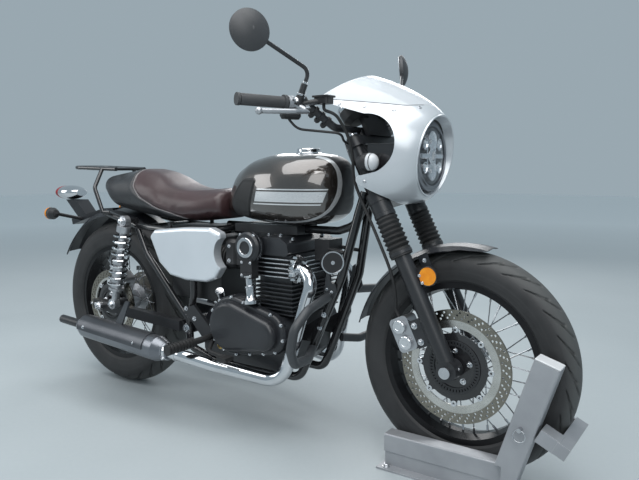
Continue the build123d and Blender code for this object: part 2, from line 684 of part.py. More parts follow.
def fuel_tank():
    """Closed tank lofted from its belly, flank and crest arcs, with a round filler cap."""
    stations = [
        # x, half width, floor z, crest z
        (-52.0, 62.0, 722.0, 770.0),
        (0.0, 98.0, 708.0, 872.0),
        (110.0, 131.0, 692.0, 915.0),
        (240.0, 142.0, 688.0, 920.0),
        (322.0, 122.0, 697.0, 917.0),
        (366.0, 90.0, 722.0, 905.0),
        (394.0, 46.0, 780.0, 880.0),
    ]
    sections = []
    for x, half, low, high in stations:
        tall = high - low
        shoulder = high - 0.16 * tall
        belly = low + 0.46 * tall
        foot = (0.72 * half, low)
        neck = (0.66 * half, shoulder)
        edges = [
            Line((-foot[0], low), foot),
            ThreePointArc(foot, (half, belly), neck),
            ThreePointArc(neck, (0, high), (-neck[0], shoulder)),
            ThreePointArc((-neck[0], shoulder), (-half, belly), (-foot[0], low)),
        ]
        plane = Plane(origin=(x, 0, 0), x_dir=(0, 1, 0), z_dir=(1, 0, 0))
        sections.append(plane * make_face(edges))
    cap = turned([(0, 905), (44, 905), (44, 920), (38, 924), (38, 933), (34, 936), (0, 936)], Plane(origin=(243, 0, 0)))
    return loft(sections) + cap


def knee_pads():
    outline = [(-6, 766), (2, 722), (84, 714), (128, 832), (112, 846), (60, 834)]
    pad = slab(outline, -150, -60, 14)
    return both_sides(pad - fuel_tank())


def seat():
    stations = [
        # x, half width, floor z, top z
        (-700.0, 84.0, 790.0, 846.0),
        (-640.0, 108.0, 724.0, 856.0),
        (-510.0, 124.0, 706.0, 872.0),
        (-400.0, 130.0, 694.0, 852.0),
        (-290.0, 130.0, 683.0, 806.0),
        (-160.0, 122.0, 688.0, 797.0),
        (-66.0, 104.0, 698.0, 806.0),
    ]
    sections = []
    for x, half, low, high in stations:
        tall = high - low
        foot = (0.9 * half, low)
        edge = (0.78 * half, high - 0.1 * tall)
        edges = [
            Line((-foot[0], low), foot),
            ThreePointArc(foot, (half, low + 0.5 * tall), edge),
            ThreePointArc(edge, (0, high), (-edge[0], edge[1])),
            ThreePointArc((-edge[0], edge[1]), (-half, low + 0.5 * tall), (-foot[0], low)),
        ]
        plane = Plane(origin=(x, 0, 0), x_dir=(0, 1, 0), z_dir=(1, 0, 0))
        sections.append(plane * make_face(edges))
    return loft(sections)


def side_covers():
    """Silver covers, scooped in front round the intake."""
    outline = [(-349, 632), (-323, 656), (-177, 671), (-50, 676), (-4, 660), (-4, 540)]
    outline += [(-30, 506), (-72, 490), (-167, 487), (-247, 498), (-301, 539)]
    plate = slab(outline, -166, -131.4, 14)
    outer = plate.faces().sort_by(Axis.Y)[0]
    plate = fillet(outer.edges(), 13)
    scoop = rod((34, -180, 594), (34, -120, 594), 62)
    return both_sides(plate - scoop)


FRAME_TUBES = [
    # points of the middle or right-hand tube, radius, bend, mirrored
    ([(480, 0, 800), (418, 0, 694), (360, 0, 674.4), (-110, 0, 674.4)], 13.0, 60, False),
    ([(466, -18, 800), (450, -28, 735), (403, -54, 534), (290, -64, 275)], 14.0, 120, True),
    ([(290, -64, 275), (252, -68, 194), (-110, -84, 194), (-200, -118, 240), (-200, -118, 330)], 14.0, 45, True),
    ([(-200, -118, 330), (-176, -118, 430), (-176, -118, 640)], 13.0, 50, True),
    ([(-70, 0, 668), (-120, -80, 656), (-176, -116, 646), (-480, -112, 660), (-690, -89.6, 700)], 12.0, 30, True),
    ([(-200, -118, 330), (-420, -116, 560), (-470, -113, 650)], 11.0, 60, True),
]


def frame_tubes():
    axis_low = fork(-FORK_OFFSET, 0, LOWER_YOKE_S + YOKE_T + 2)
    axis_top = fork(-FORK_OFFSET, 0, UPPER_YOKE_S - 2)
    solid = rod(axis_low, axis_top, HEAD_TUBE_R)
    for points, radius, bend, mirrored in FRAME_TUBES:
        run = tube(points, radius, bend)
        solid = solid + run
        if mirrored:
            solid = solid + other_side(run)
    pivot_x, pivot_z = SWINGARM_PIVOT
    for x, z, half, radius in ((pivot_x, pivot_z, 134, AXLE_R), (-60, 194, 80, 11), (-430, 658, 112, 9)):
        solid = solid + rod((x, -half, z), (x, half, z), radius)
    for side in (-1, 1):
        inner = side * 66 - 5
        solid = solid + slab([(262.3, 322), (322, 322), (362, 400), (362, 424), (262.3, 360)], inner, inner + 10)
        solid = solid + rod((-485, side * 102, 680), (-485, side * 176, 680), 9)
        solid = solid + rod((-300, side * 108, 652), (-300, side * 108, 682.3), 8)
        peg_x, peg_z = from_crest([(40, -22.6)])[0]
        solid = solid + rod((-640, side * 95, 690), (peg_x, side * 76.2, peg_z), 6)
        solid = solid + slab([(-500, 655), (-470, 655), (-474, 684), (-496, 684)], side * 112 - 5, side * 112 + 5)
    bore = rod(fork(-FORK_OFFSET, 0, 0), fork(-FORK_OFFSET, 0, 900), STEM_R)
    return (solid + stand_bracket()) - bore


def cover(bosses, y0, y1, edge):
    """Right-hand engine cover: hull of round bosses (x, z, radius) from y0 out to y1, its rim rounded."""
    rings = [(Pos(x, z) * Circle(radius)).edges() for x, z, radius in bosses]
    outline = make_hull(sum(rings, ShapeList())) if len(bosses) > 1 else Pos(*bosses[0][:2]) * Circle(bosses[0][2])
    solid = extrude(outline, amount=y0 - y1)
    if edge:
        solid = fillet(solid.faces().sort_by(Axis.Z)[-1].edges(), edge)
    return Plane(origin=(0, y0, 0), x_dir=(1, 0, 0), z_dir=(0, -1, 0)).location * solid


def clutch_cover(grow, edge):
    """Bean-shaped right cover in two tiers over the clutch and the crank's end."""
    low = cover([(44, 358, 98 + grow), (192, 350, 70 + grow)], -100, -166 - grow, edge)
    return low + cover([(46, 358, 82 + grow), (186, 348, 52 + grow)], -150, -194 - grow, edge * 1.4)


def crankcase():
    """Open-sided engine block: cases, sump, clutch and generator covers, output sprocket and its cover."""
    main = slab([(-15, 212), (196, 212), (254, 262), (262, 362), (240, 404), (-15, 404)], -105, 105, 20)
    rear = slab([(-140, 226), (30, 214), (30, 400), (-110, 390), (-140, 340)], -105, 52, 20)
    solid = main + rear + clutch_cover(0, 12)
    solid = solid + other_side(cover([(184, 348, 72)], -100, -150, 0) + cover([(184, 348, 62)], -148, -170, 10))
    for x in range(20, 190, 24):
        solid = solid + block(x, x + 6, -48, 48, 203, 214)
    shaft_x, shaft_z = GEARBOX_SHAFT
    shaft = rod((shaft_x, 50, shaft_z), (shaft_x, CHAIN_Y + 6, shaft_z), 15)
    sprocket = rod((shaft_x, CHAIN_Y - 4, shaft_z), (shaft_x, CHAIN_Y + 4, shaft_z), FRONT_SPROCKET_R)
    case = slab([(-160, 262), (-60, 250), (20, 250), (20, 388), (-60, 388), (-160, 360)], 102, 130, 20)
    case = fillet(case.faces().sort_by(Axis.Y)[-1].edges(), 8)
    seat_of_barrel = block(100, 290, -140, 140, 404, 480)
    return (solid + shaft + sprocket + case) - seat_of_barrel


def cylinders():
    solid = block(126, 256, -112, 112, 404, 530) + block(116, 256, -118, 118, 525, 600)
    for index in range(8):
        z = 410 + index * 13.5
        solid = solid + block(112, 272, -130, 130, z, z + 4)
    for index in range(5):
        z = 530 + index * 14.0
        solid = solid + block(112, 262, -136, 136, z, z + 4)
    cover = slab([(120, 598), (256, 598), (250, 636), (222, 655), (150, 655), (124, 636)], -130, 130, 12)
    return solid + cover


def bevel_drive():
    """Shaft tower up the right side of the cylinders, its drive box and its round cap."""
    face = -136 - SEAT_GAP
    cap_plane = Plane(origin=(113, face, 621), x_dir=(1, 0, 0), z_dir=(0, -1, 0))
    cap = turned([(0, 0), (50, 0), (50, 24), (44, 31), (33, 31), (31, 37), (21, 37), (21, 33), (0, 33)], cap_plane)
    box = block(92, 140, -170, face, 522, 585)
    foot = Vector(130, -160, 440)
    tower_plane = Plane(origin=foot, x_dir=(0, 1, 0), z_dir=Vector(116, -158, 560) - foot)
    outline = [(0, 0), (25, 0), (25, 12), (17, 20), (15, 30), (15, 52), (17, 53), (17, 58), (12.5, 60), (12.5, 84)]
    outline += [(17, 86), (20, 92), (20, 100), (0, 100)]
    tower = turned(outline, tower_plane) - clutch_cover(SEAT_GAP, 12) - block(0, 300, face, 0, 300, 700)
    return cap + box + tower


def intake():
    shapes = []
    for side in (-1, 1):
        y = side * 78
        shapes.append(rod((-66, y, 570), (111.7, y, 570), 30) + rod((-24, y, 570), (40, y, 570), 38))
    back = REAR_AXLE.X + REAR_TYRE_R + TRAY_ROOM
    box = block(-144, -66.3, -102, 102, 500, 636)
    tray = block(back, -66.3, -92, 92, 412, 622)
    pan = block(back - 60, -190, -96, 96, 620, 662)
    return shapes + [box + tray + pan]


MUFFLER_START = Vector(-205, -233, 250)
MUFFLER_RUN = Vector(-460, -5, 29).normalized()


def exhaust_pipes():
    """Header from each port down and back under the engine, with a finned collar at the head."""
    port = Vector(269, -96, 556)
    neck = MUFFLER_START - MUFFLER_RUN * 100
    tail = MUFFLER_START + MUFFLER_RUN * 26
    corners = [port, (342, -112, 556), (246, -152, 196), (-10, -200, 222), neck, tail]
    pipe = tube(corners, PIPE_R, [50, 78, 120, 120])
    star = []
    for index in range(2 * COLLAR_FINS):
        turn = pi * index / COLLAR_FINS
        reach = COLLAR_R if index % 2 == 0 else COLLAR_R - 9
        star.append((reach * cos(turn), reach * sin(turn)))
    fins = extrude(make_face(Polyline(*star, close=True)), amount=15)
    plane = Plane(origin=port - Vector(6.5, 0, 0), x_dir=(0, 1, 0), z_dir=(1, 0, 0))
    ring = turned([(0, 0), (COLLAR_R - 6, 0), (COLLAR_R - 6, 17), (PIPE_R + 6, 21), (0, 21)], plane)
    return both_sides(pipe + plane.location * fins + ring)


def mufflers():
    """Long silencers with a heat shield over the upper outside and a slim tail pipe."""
    plane = Plane(origin=MUFFLER_START, x_dir=(0, 1, 0), z_dir=MUFFLER_RUN)
    bore = PIPE_R + SEAT_GAP
    outline = [(bore, -26), (27, -26), (34, 0), (44, 30), (42, 250), (41, 425), (24, 462)]
    outline += [(16, 466), (16, 580), (12, 580), (12, 440), (bore, 40)]
    body = turned(outline, plane)
    strip = [(38, 0, 70), (47, 0, 70), (45, 0, 430), (38, 0, 430)]
    shield = Rot(0, 0, 178) * revolve(make_face(Polyline(*strip, close=True)), Axis.Z, revolution_arc=118)
    hanger = slab([(-470, 300), (-430, 300), (-380, 400), (-400, 400)], -238, -231)
    return both_sides(body + plane.location * shield + hanger)


def swingarm():
    """Twin-sided arm from its pivot to the rear axle, with a cross tube and the shock lugs."""
    pivot_x, pivot_z = SWINGARM_PIVOT
    solid = rod((pivot_x, -104, pivot_z), (pivot_x, 104, pivot_z), 21)
    cross = ARM.from_local_coords(Vector(SWINGARM_LENGTH - 48, 0, 0))
    solid = solid + rod((cross.X, -SWINGARM_Y, cross.Z), (cross.X, SWINGARM_Y, cross.Z), 19)
    for side in (-1, 1):
        y = side * SWINGARM_Y
        bridge = leaf([(-58, -14), (0, -14), (0, 14), (-58, 14)], side * 60, side * 104, SWINGARM_LENGTH)
        reach = SWINGARM_LENGTH - 38
        arm = leaf([(-55, -19), (reach, -19), (reach, 19), (-55, 19)], y - 14, y + 14)
        foot_x, foot_z = SHOCK_FOOT
        lug = [(foot_x - 34, 15), (foot_x + 32, 15), (foot_x + 16, foot_z + 14), (foot_x - 16, foot_z + 14)]
        solid = solid + bridge + arm + leaf(lug, y - 10, y + 10)
        solid = solid + rod((SHOCK_LOW.X, y, SHOCK_LOW.Z), (SHOCK_LOW.X, side * 172, SHOCK_LOW.Z), SHOCK_PIN_R)
    axle_hole = rod(REAR_AXLE + Vector(0, -200, 0), REAR_AXLE + Vector(0, 200, 0), AXLE_R + RUNNING_FIT)
    pivot_hole = rod((pivot_x, -200, pivot_z), (pivot_x, 200, pivot_z), AXLE_R + RUNNING_FIT)
    return solid - axle_hole - pivot_hole


def rear_axle():
    shaft = rod(REAR_AXLE + Vector(0, -146, 0), REAR_AXLE + Vector(0, 146, 0), AXLE_R)
    spacer_r = rod(REAR_AXLE + Vector(0, -104.7, 0), REAR_AXLE + Vector(0, -88, 0), 17)
    spacer_l = rod(REAR_AXLE + Vector(0, 91, 0), REAR_AXLE + Vector(0, 104.7, 0), 17)
    nut_r = rod(REAR_AXLE + Vector(0, -150, 0), REAR_AXLE + Vector(0, -133.3, 0), 17)
    nut_l = rod(REAR_AXLE + Vector(0, 133.3, 0), REAR_AXLE + Vector(0, 150, 0), 17)
    return shaft + spacer_r + spacer_l + nut_r + nut_l


SHOCK_TOP = Vector(-485, -160, 680)
SHOCK_LOW = ARM.from_local_coords(Vector(*SHOCK_FOOT, 160))


def shock_absorbers():
    axis = SHOCK_LOW - SHOCK_TOP
    plane = Plane(origin=SHOCK_TOP, x_dir=(0, 1, 0), z_dir=axis)
    seat = axis.length - SPRING_FOOT
    outline = [(0, 18), (26, 18), (26, 42), (14, 42), (14, 150), (22, 150), (22, seat + 2), (28, seat + 4), (28, seat + 12)]
    outline += [(12, seat + 12), (12, axis.length - 18), (0, axis.length - 18)]
    body = turned(outline, plane)
    for spot in (SHOCK_TOP, SHOCK_LOW):
        eye = rod(spot - Vector(0, 12, 0), spot + Vector(0, 12, 0), 20)
        body = body + (eye - rod(spot - Vector(0, 20, 0), spot + Vector(0, 40, 0), SHOCK_PIN_R + RUNNING_FIT))
    return both_sides(body)


def shock_springs():
    axis = SHOCK_LOW - SHOCK_TOP
    plane = Plane(origin=SHOCK_TOP, x_dir=(0, 1, 0), z_dir=axis)
    turns = 9
    per_turn = 10
    first = 46.2
    rise = (axis.length - SPRING_FOOT - 0.4 - first) / (turns * per_turn)
    points = []
    for index in range(turns * per_turn + 1):
        turn = radians(360.0 / per_turn * index)
        points.append((30 * cos(turn), 30 * sin(turn), first + rise * index))
    path = Polyline(*points)
    section = Plane(origin=path @ 0, z_dir=path % 0) * RegularPolygon(4.5, 5)
    coil = sweep(section, path=path, transition=Transition.RIGHT)
    return both_sides(plane.location * coil)


def rear_fender():
    """Guard about the rear tyre, its tail and the bracket under the lamp."""
    inner = [(-30, 74), (-8, 50), (0, 0), (-8, -50), (-30, -74)]
    inner = [(FENDER_R + rise, -y) for rise, y in inner]
    outer = [(radius + FENDER_T, y * 1.04) for radius, y in inner]
    corners = [(radius, 0, y) for radius, y in inner + outer[::-1]]
    face = make_face(Polyline(*corners, close=True))
    arc = revolve(face, Axis.Z, revolution_arc=104)
    guard = wheel_plane(REAR_AXLE).location * (Rot(0, 0, -150) * arc)
    tail = slab(from_crest([(-300, -52), (-80, 0), (-20, 4), (-20, -6), (-80, -14), (-295, -76)]), -48, 48)
    bracket = slab(from_crest([(-360, 28.7), (-288, 28.7), (-220, -36), (-270, -52)]), -30, 30)
    return guard + tail + bracket


def tail_lamp():
    centre = REAR_AXLE.Z + FENDER_R + LAMP_LIFT
    sections = []
    for x, half, tall in ((-388, 52, 29), (-340, 50, 29), (-288, 26, 14)):
        plane = Plane(origin=(REAR_AXLE.X + x, 0, centre), x_dir=(0, 1, 0), z_dir=(1, 0, 0))
        sections.append(plane * Ellipse(half, tall))
    return loft(sections)


def tail_lens():
    centre = REAR_AXLE.Z + FENDER_R + LAMP_LIFT
    sections = []
    for x, half, tall in ((-388.3, 52, 29), (-410, 48, 27), (-426, 30, 16)):
        plane = Plane(origin=(REAR_AXLE.X + x, 0, centre), x_dir=(0, 1, 0), z_dir=(1, 0, 0))
        sections.append(plane * Ellipse(half, tall))
    return loft(sections)


def rear_signals():
    shapes = []
    (root_x, root_z), (head_x, head_z) = from_crest([(-225, -48.6), (-232, -18.6)])
    for side in (-1, 1):
        stalk = rod((root_x, side * 50, root_z), (head_x, side * 172, head_z), 7)
        plane = Plane(origin=(head_x, side * 182, head_z), x_dir=(0, 1, 0), z_dir=(-1, 0, 0))
        shapes.append(stalk + turned(SIGNAL_OUTLINE, plane))
    return shapes


def luggage_rack():
    loop = tube([(-640, -70, 872), (-900, -86, 880), (-900, 86, 880), (-640, 70, 872)], RACK_R, 40)
    solid = loop
    for y in (-32, 0, 32):
        solid = solid + rod((-900, y, 880), (-650, y, 872), RACK_R * 0.75)
    for x, z, half in ((-650, 872.3, 70), (-760, 875.7, 78)):
        solid = solid + rod((x, -half, z), (x, half, z), RACK_R * 0.75)
    for side in (-1, 1):
        leg = tube([(-720, side * 75, 874), (-706, side * 125, 800), (-660, side * 125, 704)], RACK_R, 30)
        foot = rod((-660, side * 125, 704), (-640, side * 110.4, 702), RACK_R)
        solid = solid + leg + foot
    return solid


def rear_caliper():
    """Caliper over the disc's upper front edge, on a bracket up from the swingarm."""
    ride = radians(REAR_CALIPER_DEG)
    reach = REAR_DISC_R - 8
    spot = REAR_AXLE + Vector(reach * cos(ride), REAR_DISC_Y + 4, reach * sin(ride))
    plane = Plane(origin=spot, x_dir=(cos(ride), 0, sin(ride)), z_dir=(0, 1, 0))
    body = Box(58, 74, 48)
    body = plane.location * fillet(body.edges().filter_by(Axis.Z), 12)
    slot = rod(REAR_AXLE + Vector(0, REAR_DISC_Y - 8, 0), REAR_AXLE + Vector(0, REAR_DISC_Y + 8, 0), REAR_DISC_R + 6)
    arm = leaf([(32, 19.3), (66, 19.3), (74, 100), (48, 100)], -112, -101)
    return (body - slot) + arm


def chain_guard():
    rise = REAR_SPROCKET_R + CHAIN_H + 3
    front = SWINGARM_LENGTH - 135
    outline = [(-46, rise + 19), (33, rise + 33), (front, rise + 1), (front, rise - 15), (33, rise + 13), (-46, rise + 1)]
    guard = leaf(outline, 76, 112)
    web = leaf([(40, 19.3), (72, 19.3), (72, rise + 18), (40, rise + 20)], 106, 112)
    return guard + web


def footrests():
    """Hangers with ribbed pegs, the brake pedal on the right and the gear lever on the left."""
    shapes = []
    for side in (-1, 1):
        hanger = slab([(-200, 380), (-150, 400), (-48, 308), (-60, 284), (-110, 290)], side * 140 - 6, side * 140 + 6)
        stay = rod((-188, side * 131.4, 372), (-188, side * 146, 372), 10)
        start = Vector(-62, side * 134, 302)
        run = Vector(-84, side * 330, 292) - start
        outline = [(0, 0), (11, 0), (11, 92)]
        for index in range(8):
            rib = 94 + index * 12.5
            outline += [(17.5, rib), (17.5, rib + 8), (14.5, rib + 9), (14.5, rib + 11.5)]
        outline += [(18, 195), (18, 199), (0, 199)]
        peg = turned(outline, Plane(origin=start, x_dir=(1, 0, 0), z_dir=run))
        pedal = tube([(-60, side * 143, 294), (-22, side * 206, 270), (62, side * 214, 264)], 7, 24)
        pad = Pos(66, side * 222, 264) * Box(40, 38, 13)
        shapes.append(hanger + stay + peg + pedal + pad)
    return shapes


def engine_guards():
    points = [(372, -73, 478), (394, -220, 462), (384, -272, 415), (370, -272, 350)]
    points += [(362, -244, 300), (345, -150, 292), (314, -85.4, 304)]
    loop = tube(points, GUARD_R, [46, 36, 36, 36, 46])
    return both_sides(loop)


def front_electrics():
    box = block(292, 348, -38, 38, 580, 648)
    horn = rod((406, -112, 592), (418, -124, 592), 34)
    post = rod((330, -30, 606), (408, -114, 592), 6)
    solid = box + horn + post
    for side in (-1, 1):
        solid = solid + rod((340, side * 32, 620), (406.0, side * 43, 612), 6)
    coil = block(-30, 236, 13.3, 56, 658, 686)
    return [solid] + both_sides(coil)


STAND_PIVOT = Vector(-40, 112, 214)
STAND_AXIS = Vector(0, -0.824, -0.567)
STAND_PIN_R = 6.0


def side_stand():
    root = STAND_PIVOT + STAND_AXIS * -16
    knuckle = rod(STAND_PIVOT + STAND_AXIS * -24, STAND_PIVOT + STAND_AXIS * -7, 17)
    leg = tube([root, root + Vector(-200, 30, -14), root + Vector(-258, 42, -10)], 10, 60)
    foot = rod(root + Vector(-258, 42, -15), root + Vector(-258, 42, -5), 20)
    pin_hole = rod(STAND_PIVOT + STAND_AXIS * -60, STAND_PIVOT + STAND_AXIS * 60, STAND_PIN_R + RUNNING_FIT)
    return (knuckle + leg + foot) - pin_hole


def stand_bracket():
    boss = rod(STAND_PIVOT + STAND_AXIS * -5, STAND_PIVOT + STAND_AXIS * 12, 17)
    pin = rod(STAND_PIVOT + STAND_AXIS * -28, STAND_PIVOT, STAND_PIN_R)
    return boss + pin + block(-58, -22, 70, 112, 190, 214)


NODES = {
    "chock_base": chock_base,
    "chock_upright": chock_upright,
    "chock_cross_bar": chock_cross_bar,
    "front_axle": front_axle,
    "fork_sliders": fork_sliders,
    "fork_gaiters": fork_gaiters,
    "fork_yokes": fork_yokes,
    "front_fender": front_fender,
    "front_reflectors": front_reflectors,
    "front_caliper": front_caliper,
    "fairing": fairing,
    "windscreen": windscreen,
    "headlamp": headlamp,
    "headlamp_lens": headlamp_lens,
    "handlebar": handlebar,
    "grips": grips,
    "levers": levers,
    "mirrors": mirrors,
    "instruments": instruments,
    "front_signals": front_signals,
    "front_brake_hose": front_brake_hose,
    "control_cables": control_cables,
    "frame_tubes": frame_tubes,
    "crankcase": crankcase,
    "cylinders": cylinders,
    "bevel_drive": bevel_drive,
    "intake": intake,
    "exhaust_pipes": exhaust_pipes,
    "mufflers": mufflers,
    "fuel_tank": fuel_tank,
    "knee_pads": knee_pads,
    "seat": seat,
    "side_covers": side_covers,
    "rear_fender": rear_fender,
    "tail_lamp": tail_lamp,
    "tail_lens": tail_lens,
    "rear_signals": rear_signals,
    "luggage_rack": luggage_rack,
    "swingarm": swingarm,
    "rear_axle": rear_axle,
    "shock_absorbers": shock_absorbers,
    "shock_springs": shock_springs,
    "rear_caliper": rear_caliper,
    "drive_chain": drive_chain,
    "chain_guard": chain_guard,
    "footrests": footrests,
    "engine_guards": engine_guards,
    "front_electrics": front_electrics,
    "side_stand": side_stand,
    "front_tyre": lambda: tyre(FRONT_AXLE, FRONT_TYRE_R, FRONT_TYRE_W),
    "front_rim": lambda: rim(FRONT_AXLE, FRONT_TYRE_W),
    "front_spokes": lambda: spokes(FRONT_AXLE, 52, -44, 44),
    "front_hub": front_hub,
    "front_disc": lambda: brake_disc(FRONT_AXLE, FRONT_DISC_R, FRONT_DISC_Y, -62, 24, 108),
    "rear_tyre": lambda: tyre(REAR_AXLE, REAR_TYRE_R, REAR_TYRE_W),
    "rear_rim": lambda: rim(REAR_AXLE, REAR_TYRE_W),
    "rear_spokes": lambda: spokes(REAR_AXLE, 60, -46, 46),
    "rear_hub": rear_hub,
    "rear_disc": lambda: brake_disc(REAR_AXLE, REAR_DISC_R, REAR_DISC_Y, -76, 24, 96),
    "rear_sprocket": rear_sprocket,
}

os.makedirs("parts", exist_ok=True)
for name, maker in NODES.items():
    made = maker()
    solids = []
    for piece in made if isinstance(made, list) else [made]:
        solids.extend(piece.solids())
    export_step(solids[0] if len(solids) == 1 else Compound(children=solids), f"parts/{name}.step")
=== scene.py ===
from math import cos, pi, radians, sin

import bpy
import numpy as np
from mathutils import Matrix, Vector
from mathutils.bvhtree import BVHTree


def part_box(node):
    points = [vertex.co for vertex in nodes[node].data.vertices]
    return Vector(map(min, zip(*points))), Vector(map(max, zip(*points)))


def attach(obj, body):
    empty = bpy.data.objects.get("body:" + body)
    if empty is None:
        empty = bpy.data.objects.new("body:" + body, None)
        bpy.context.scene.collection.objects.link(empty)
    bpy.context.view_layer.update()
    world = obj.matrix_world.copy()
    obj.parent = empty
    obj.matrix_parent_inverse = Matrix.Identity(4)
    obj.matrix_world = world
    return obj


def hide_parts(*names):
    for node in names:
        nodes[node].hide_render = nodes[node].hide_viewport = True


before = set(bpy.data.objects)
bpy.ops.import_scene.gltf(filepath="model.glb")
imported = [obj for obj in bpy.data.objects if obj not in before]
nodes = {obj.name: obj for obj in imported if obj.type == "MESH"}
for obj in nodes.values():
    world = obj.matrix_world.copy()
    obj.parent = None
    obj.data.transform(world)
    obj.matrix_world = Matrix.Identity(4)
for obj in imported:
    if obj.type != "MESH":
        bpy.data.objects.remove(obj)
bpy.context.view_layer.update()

# Lengths below are millimetres in the part's frame, and MM turns them into metres.
MM = 0.001
CAMERA_PLACE = (1452.1, -1684.6, 868.9)
CAMERA_AZIMUTH = 34.731
CAMERA_ELEVATION = 6.352
CAMERA_ROLL = -0.195
CAMERA_LENS = 35.82
BEAD_R = 228.6
RIM_INNER_R = 207.0
SPOKES = 36
RAKE_DEG = 26.0
BRACKET_DROP = 62.9
MUFFLER_START = (-205.0, 233.0, 250.0)
MUFFLER_RUN = Vector((-460, -5, 29)).normalized()
SIDES = ((-1, "right"), (1, "left"))


def wheel_of(node):
    """Centre and radius of a wheel node in millimetres."""
    low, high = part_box(node)
    return (low + high) / 2 / MM, (high.z - low.z) / 2 / MM


FRONT_AXLE, FRONT_R = wheel_of("front_tyre")
REAR_AXLE, _ = wheel_of("rear_tyre")
FORK = Matrix.Translation(FRONT_AXLE) @ Matrix.Rotation(radians(-RAKE_DEG), 4, "Y")
BRACKET_S = FRONT_R - BRACKET_DROP


# Materials


def mapped(tree, source, low, high, to_low, to_high):
    node = tree.nodes.new("ShaderNodeMapRange")
    tree.links.new(source, node.inputs["Value"])
    for socket, value in zip(("From Min", "From Max", "To Min", "To Max"), (low, high, to_low, to_high)):
        node.inputs[socket].default_value = value
    return node.outputs["Result"]


def noise(tree, vector, scale, detail=3.0):
    node = tree.nodes.new("ShaderNodeTexNoise")
    node.inputs["Scale"].default_value = scale
    node.inputs["Detail"].default_value = detail
    tree.links.new(vector, node.inputs["Vector"])
    return node.outputs["Fac"]


def cells(tree, vector, scale):
    node = tree.nodes.new("ShaderNodeTexVoronoi")
    node.feature = "SMOOTH_F1"
    node.inputs["Scale"].default_value = scale
    tree.links.new(vector, node.inputs["Vector"])
    return node.outputs["Distance"]


def mixed(tree, factor, first, second):
    """Colour between two tones, or between a linked colour and a tone."""
    node = tree.nodes.new("ShaderNodeMix")
    node.data_type = "RGBA"
    tree.links.new(factor, node.inputs[0])
    for socket, tone in ((node.inputs[6], first), (node.inputs[7], second)):
        if isinstance(tone, tuple):
            socket.default_value = (*tone, 1.0)
        else:
            tree.links.new(tone, socket)
    return node.outputs[2]


def surface(
    name, tones, roughness, grain=900.0, bump=0.06, patch=7.0, edge=0.0, wear=None, leather=False, **extra
):
    """Finish on the part's scale: drifting tones, grained roughness, shallow bump, soft or worn edges."""
    material = bpy.data.materials.new(name)
    material.use_nodes = True
    tree = material.node_tree
    shader = tree.nodes["Principled BSDF"]
    for label, value in extra.items():
        shader.inputs[label.replace("_", " ")].default_value = value
    coords = tree.nodes.new("ShaderNodeTexCoord").outputs["Object"]
    drift = mapped(tree, noise(tree, coords, patch), 0.35, 0.65, 0.0, 1.0)
    colour = mixed(tree, drift, *tones)
    fine = cells(tree, coords, grain) if leather else noise(tree, coords, grain, 2.0)
    tree.links.new(mapped(tree, fine, 0.2, 0.8, *roughness), shader.inputs["Roughness"])
    relief = tree.nodes.new("ShaderNodeBump")
    relief.inputs["Strength"].default_value = bump
    relief.inputs["Distance"].default_value = MM
    tree.links.new(fine, relief.inputs["Height"])
    if edge:
        rounded = tree.nodes.new("ShaderNodeBevel")
        rounded.samples = 4
        rounded.inputs["Radius"].default_value = edge * MM
        tree.links.new(rounded.outputs["Normal"], relief.inputs["Normal"])
        if wear:
            flat = tree.nodes.new("ShaderNodeNewGeometry").outputs["Normal"]
            facing = tree.nodes.new("ShaderNodeVectorMath")
            facing.operation = "DOT_PRODUCT"
            tree.links.new(rounded.outputs["Normal"], facing.inputs[0])
            tree.links.new(flat, facing.inputs[1])
            rubbed = mapped(tree, facing.outputs["Value"], 0.995, 0.86, 0.0, 0.8)
            colour = mixed(tree, rubbed, colour, wear)
    tree.links.new(relief.outputs["Normal"], shader.inputs["Normal"])
    tree.links.new(colour, shader.inputs["Base Color"])
    return material


CHOCK = surface(
    "chock_grey", ((0.36, 0.37, 0.39), (0.30, 0.31, 0.33)), (0.32, 0.5), 260, 0.12, 9, 1.2,
    (0.55, 0.55, 0.56), Metallic=0.35
)
CHOCK_CAP = surface("chock_cap", ((0.66, 0.67, 0.68), (0.58, 0.59, 0.6)), (0.3, 0.45), 300, 0.1, 12, 0.8)
PEARL = surface(
    "pearl_silver", ((0.60, 0.63, 0.66), (0.57, 0.60, 0.63)), (0.24, 0.36), 2600, 0.02, 4, 1.0,
    Metallic=0.35, Coat_Weight=0.7, Coat_Roughness=0.08
)
SILVER = surface(
    "cover_silver", ((0.78, 0.82, 0.86), (0.72, 0.76, 0.80)), (0.28, 0.4), 2600, 0.02, 5, 1.0, Metallic=0.6,
    Coat_Weight=0.5, Coat_Roughness=0.15
)
SCREEN = surface(
    "screen_white", ((0.70, 0.73, 0.76), (0.67, 0.70, 0.73)), (0.1, 0.16), 700, 0.01, 3, 0.6,
    Transmission_Weight=0.35, IOR=1.49
)
TANK = surface(
    "tank_brown", ((0.052, 0.043, 0.038), (0.068, 0.057, 0.05)), (0.2, 0.34), 3200, 0.02, 3, 0.8,
    Metallic=0.75, Coat_Weight=1.0, Coat_Roughness=0.03, Coat_IOR=1.9
)
STRIPE = surface(
    "stripe_silver", ((0.70, 0.71, 0.72), (0.64, 0.65, 0.66)), (0.22, 0.3), 2600, 0.02, 6, Metallic=0.5,
    Coat_Weight=0.8
)
GLOSS_BLACK = surface(
    "gloss_black", ((0.012, 0.012, 0.013), (0.018, 0.018, 0.02)), (0.14, 0.24), 900, 0.02, 8, 0.8,
    Coat_Weight=0.5
)
SATIN_BLACK = surface(
    "satin_black", ((0.016, 0.017, 0.019), (0.024, 0.025, 0.028)), (0.3, 0.42), 1200, 0.05, 8, 0.8
)
RIM_BLACK = surface(
    "rim_black", ((0.008, 0.008, 0.009), (0.012, 0.012, 0.013)), (0.2, 0.3), 900, 0.02, 8, 0.8,
    Specular_IOR_Level=0.2
)
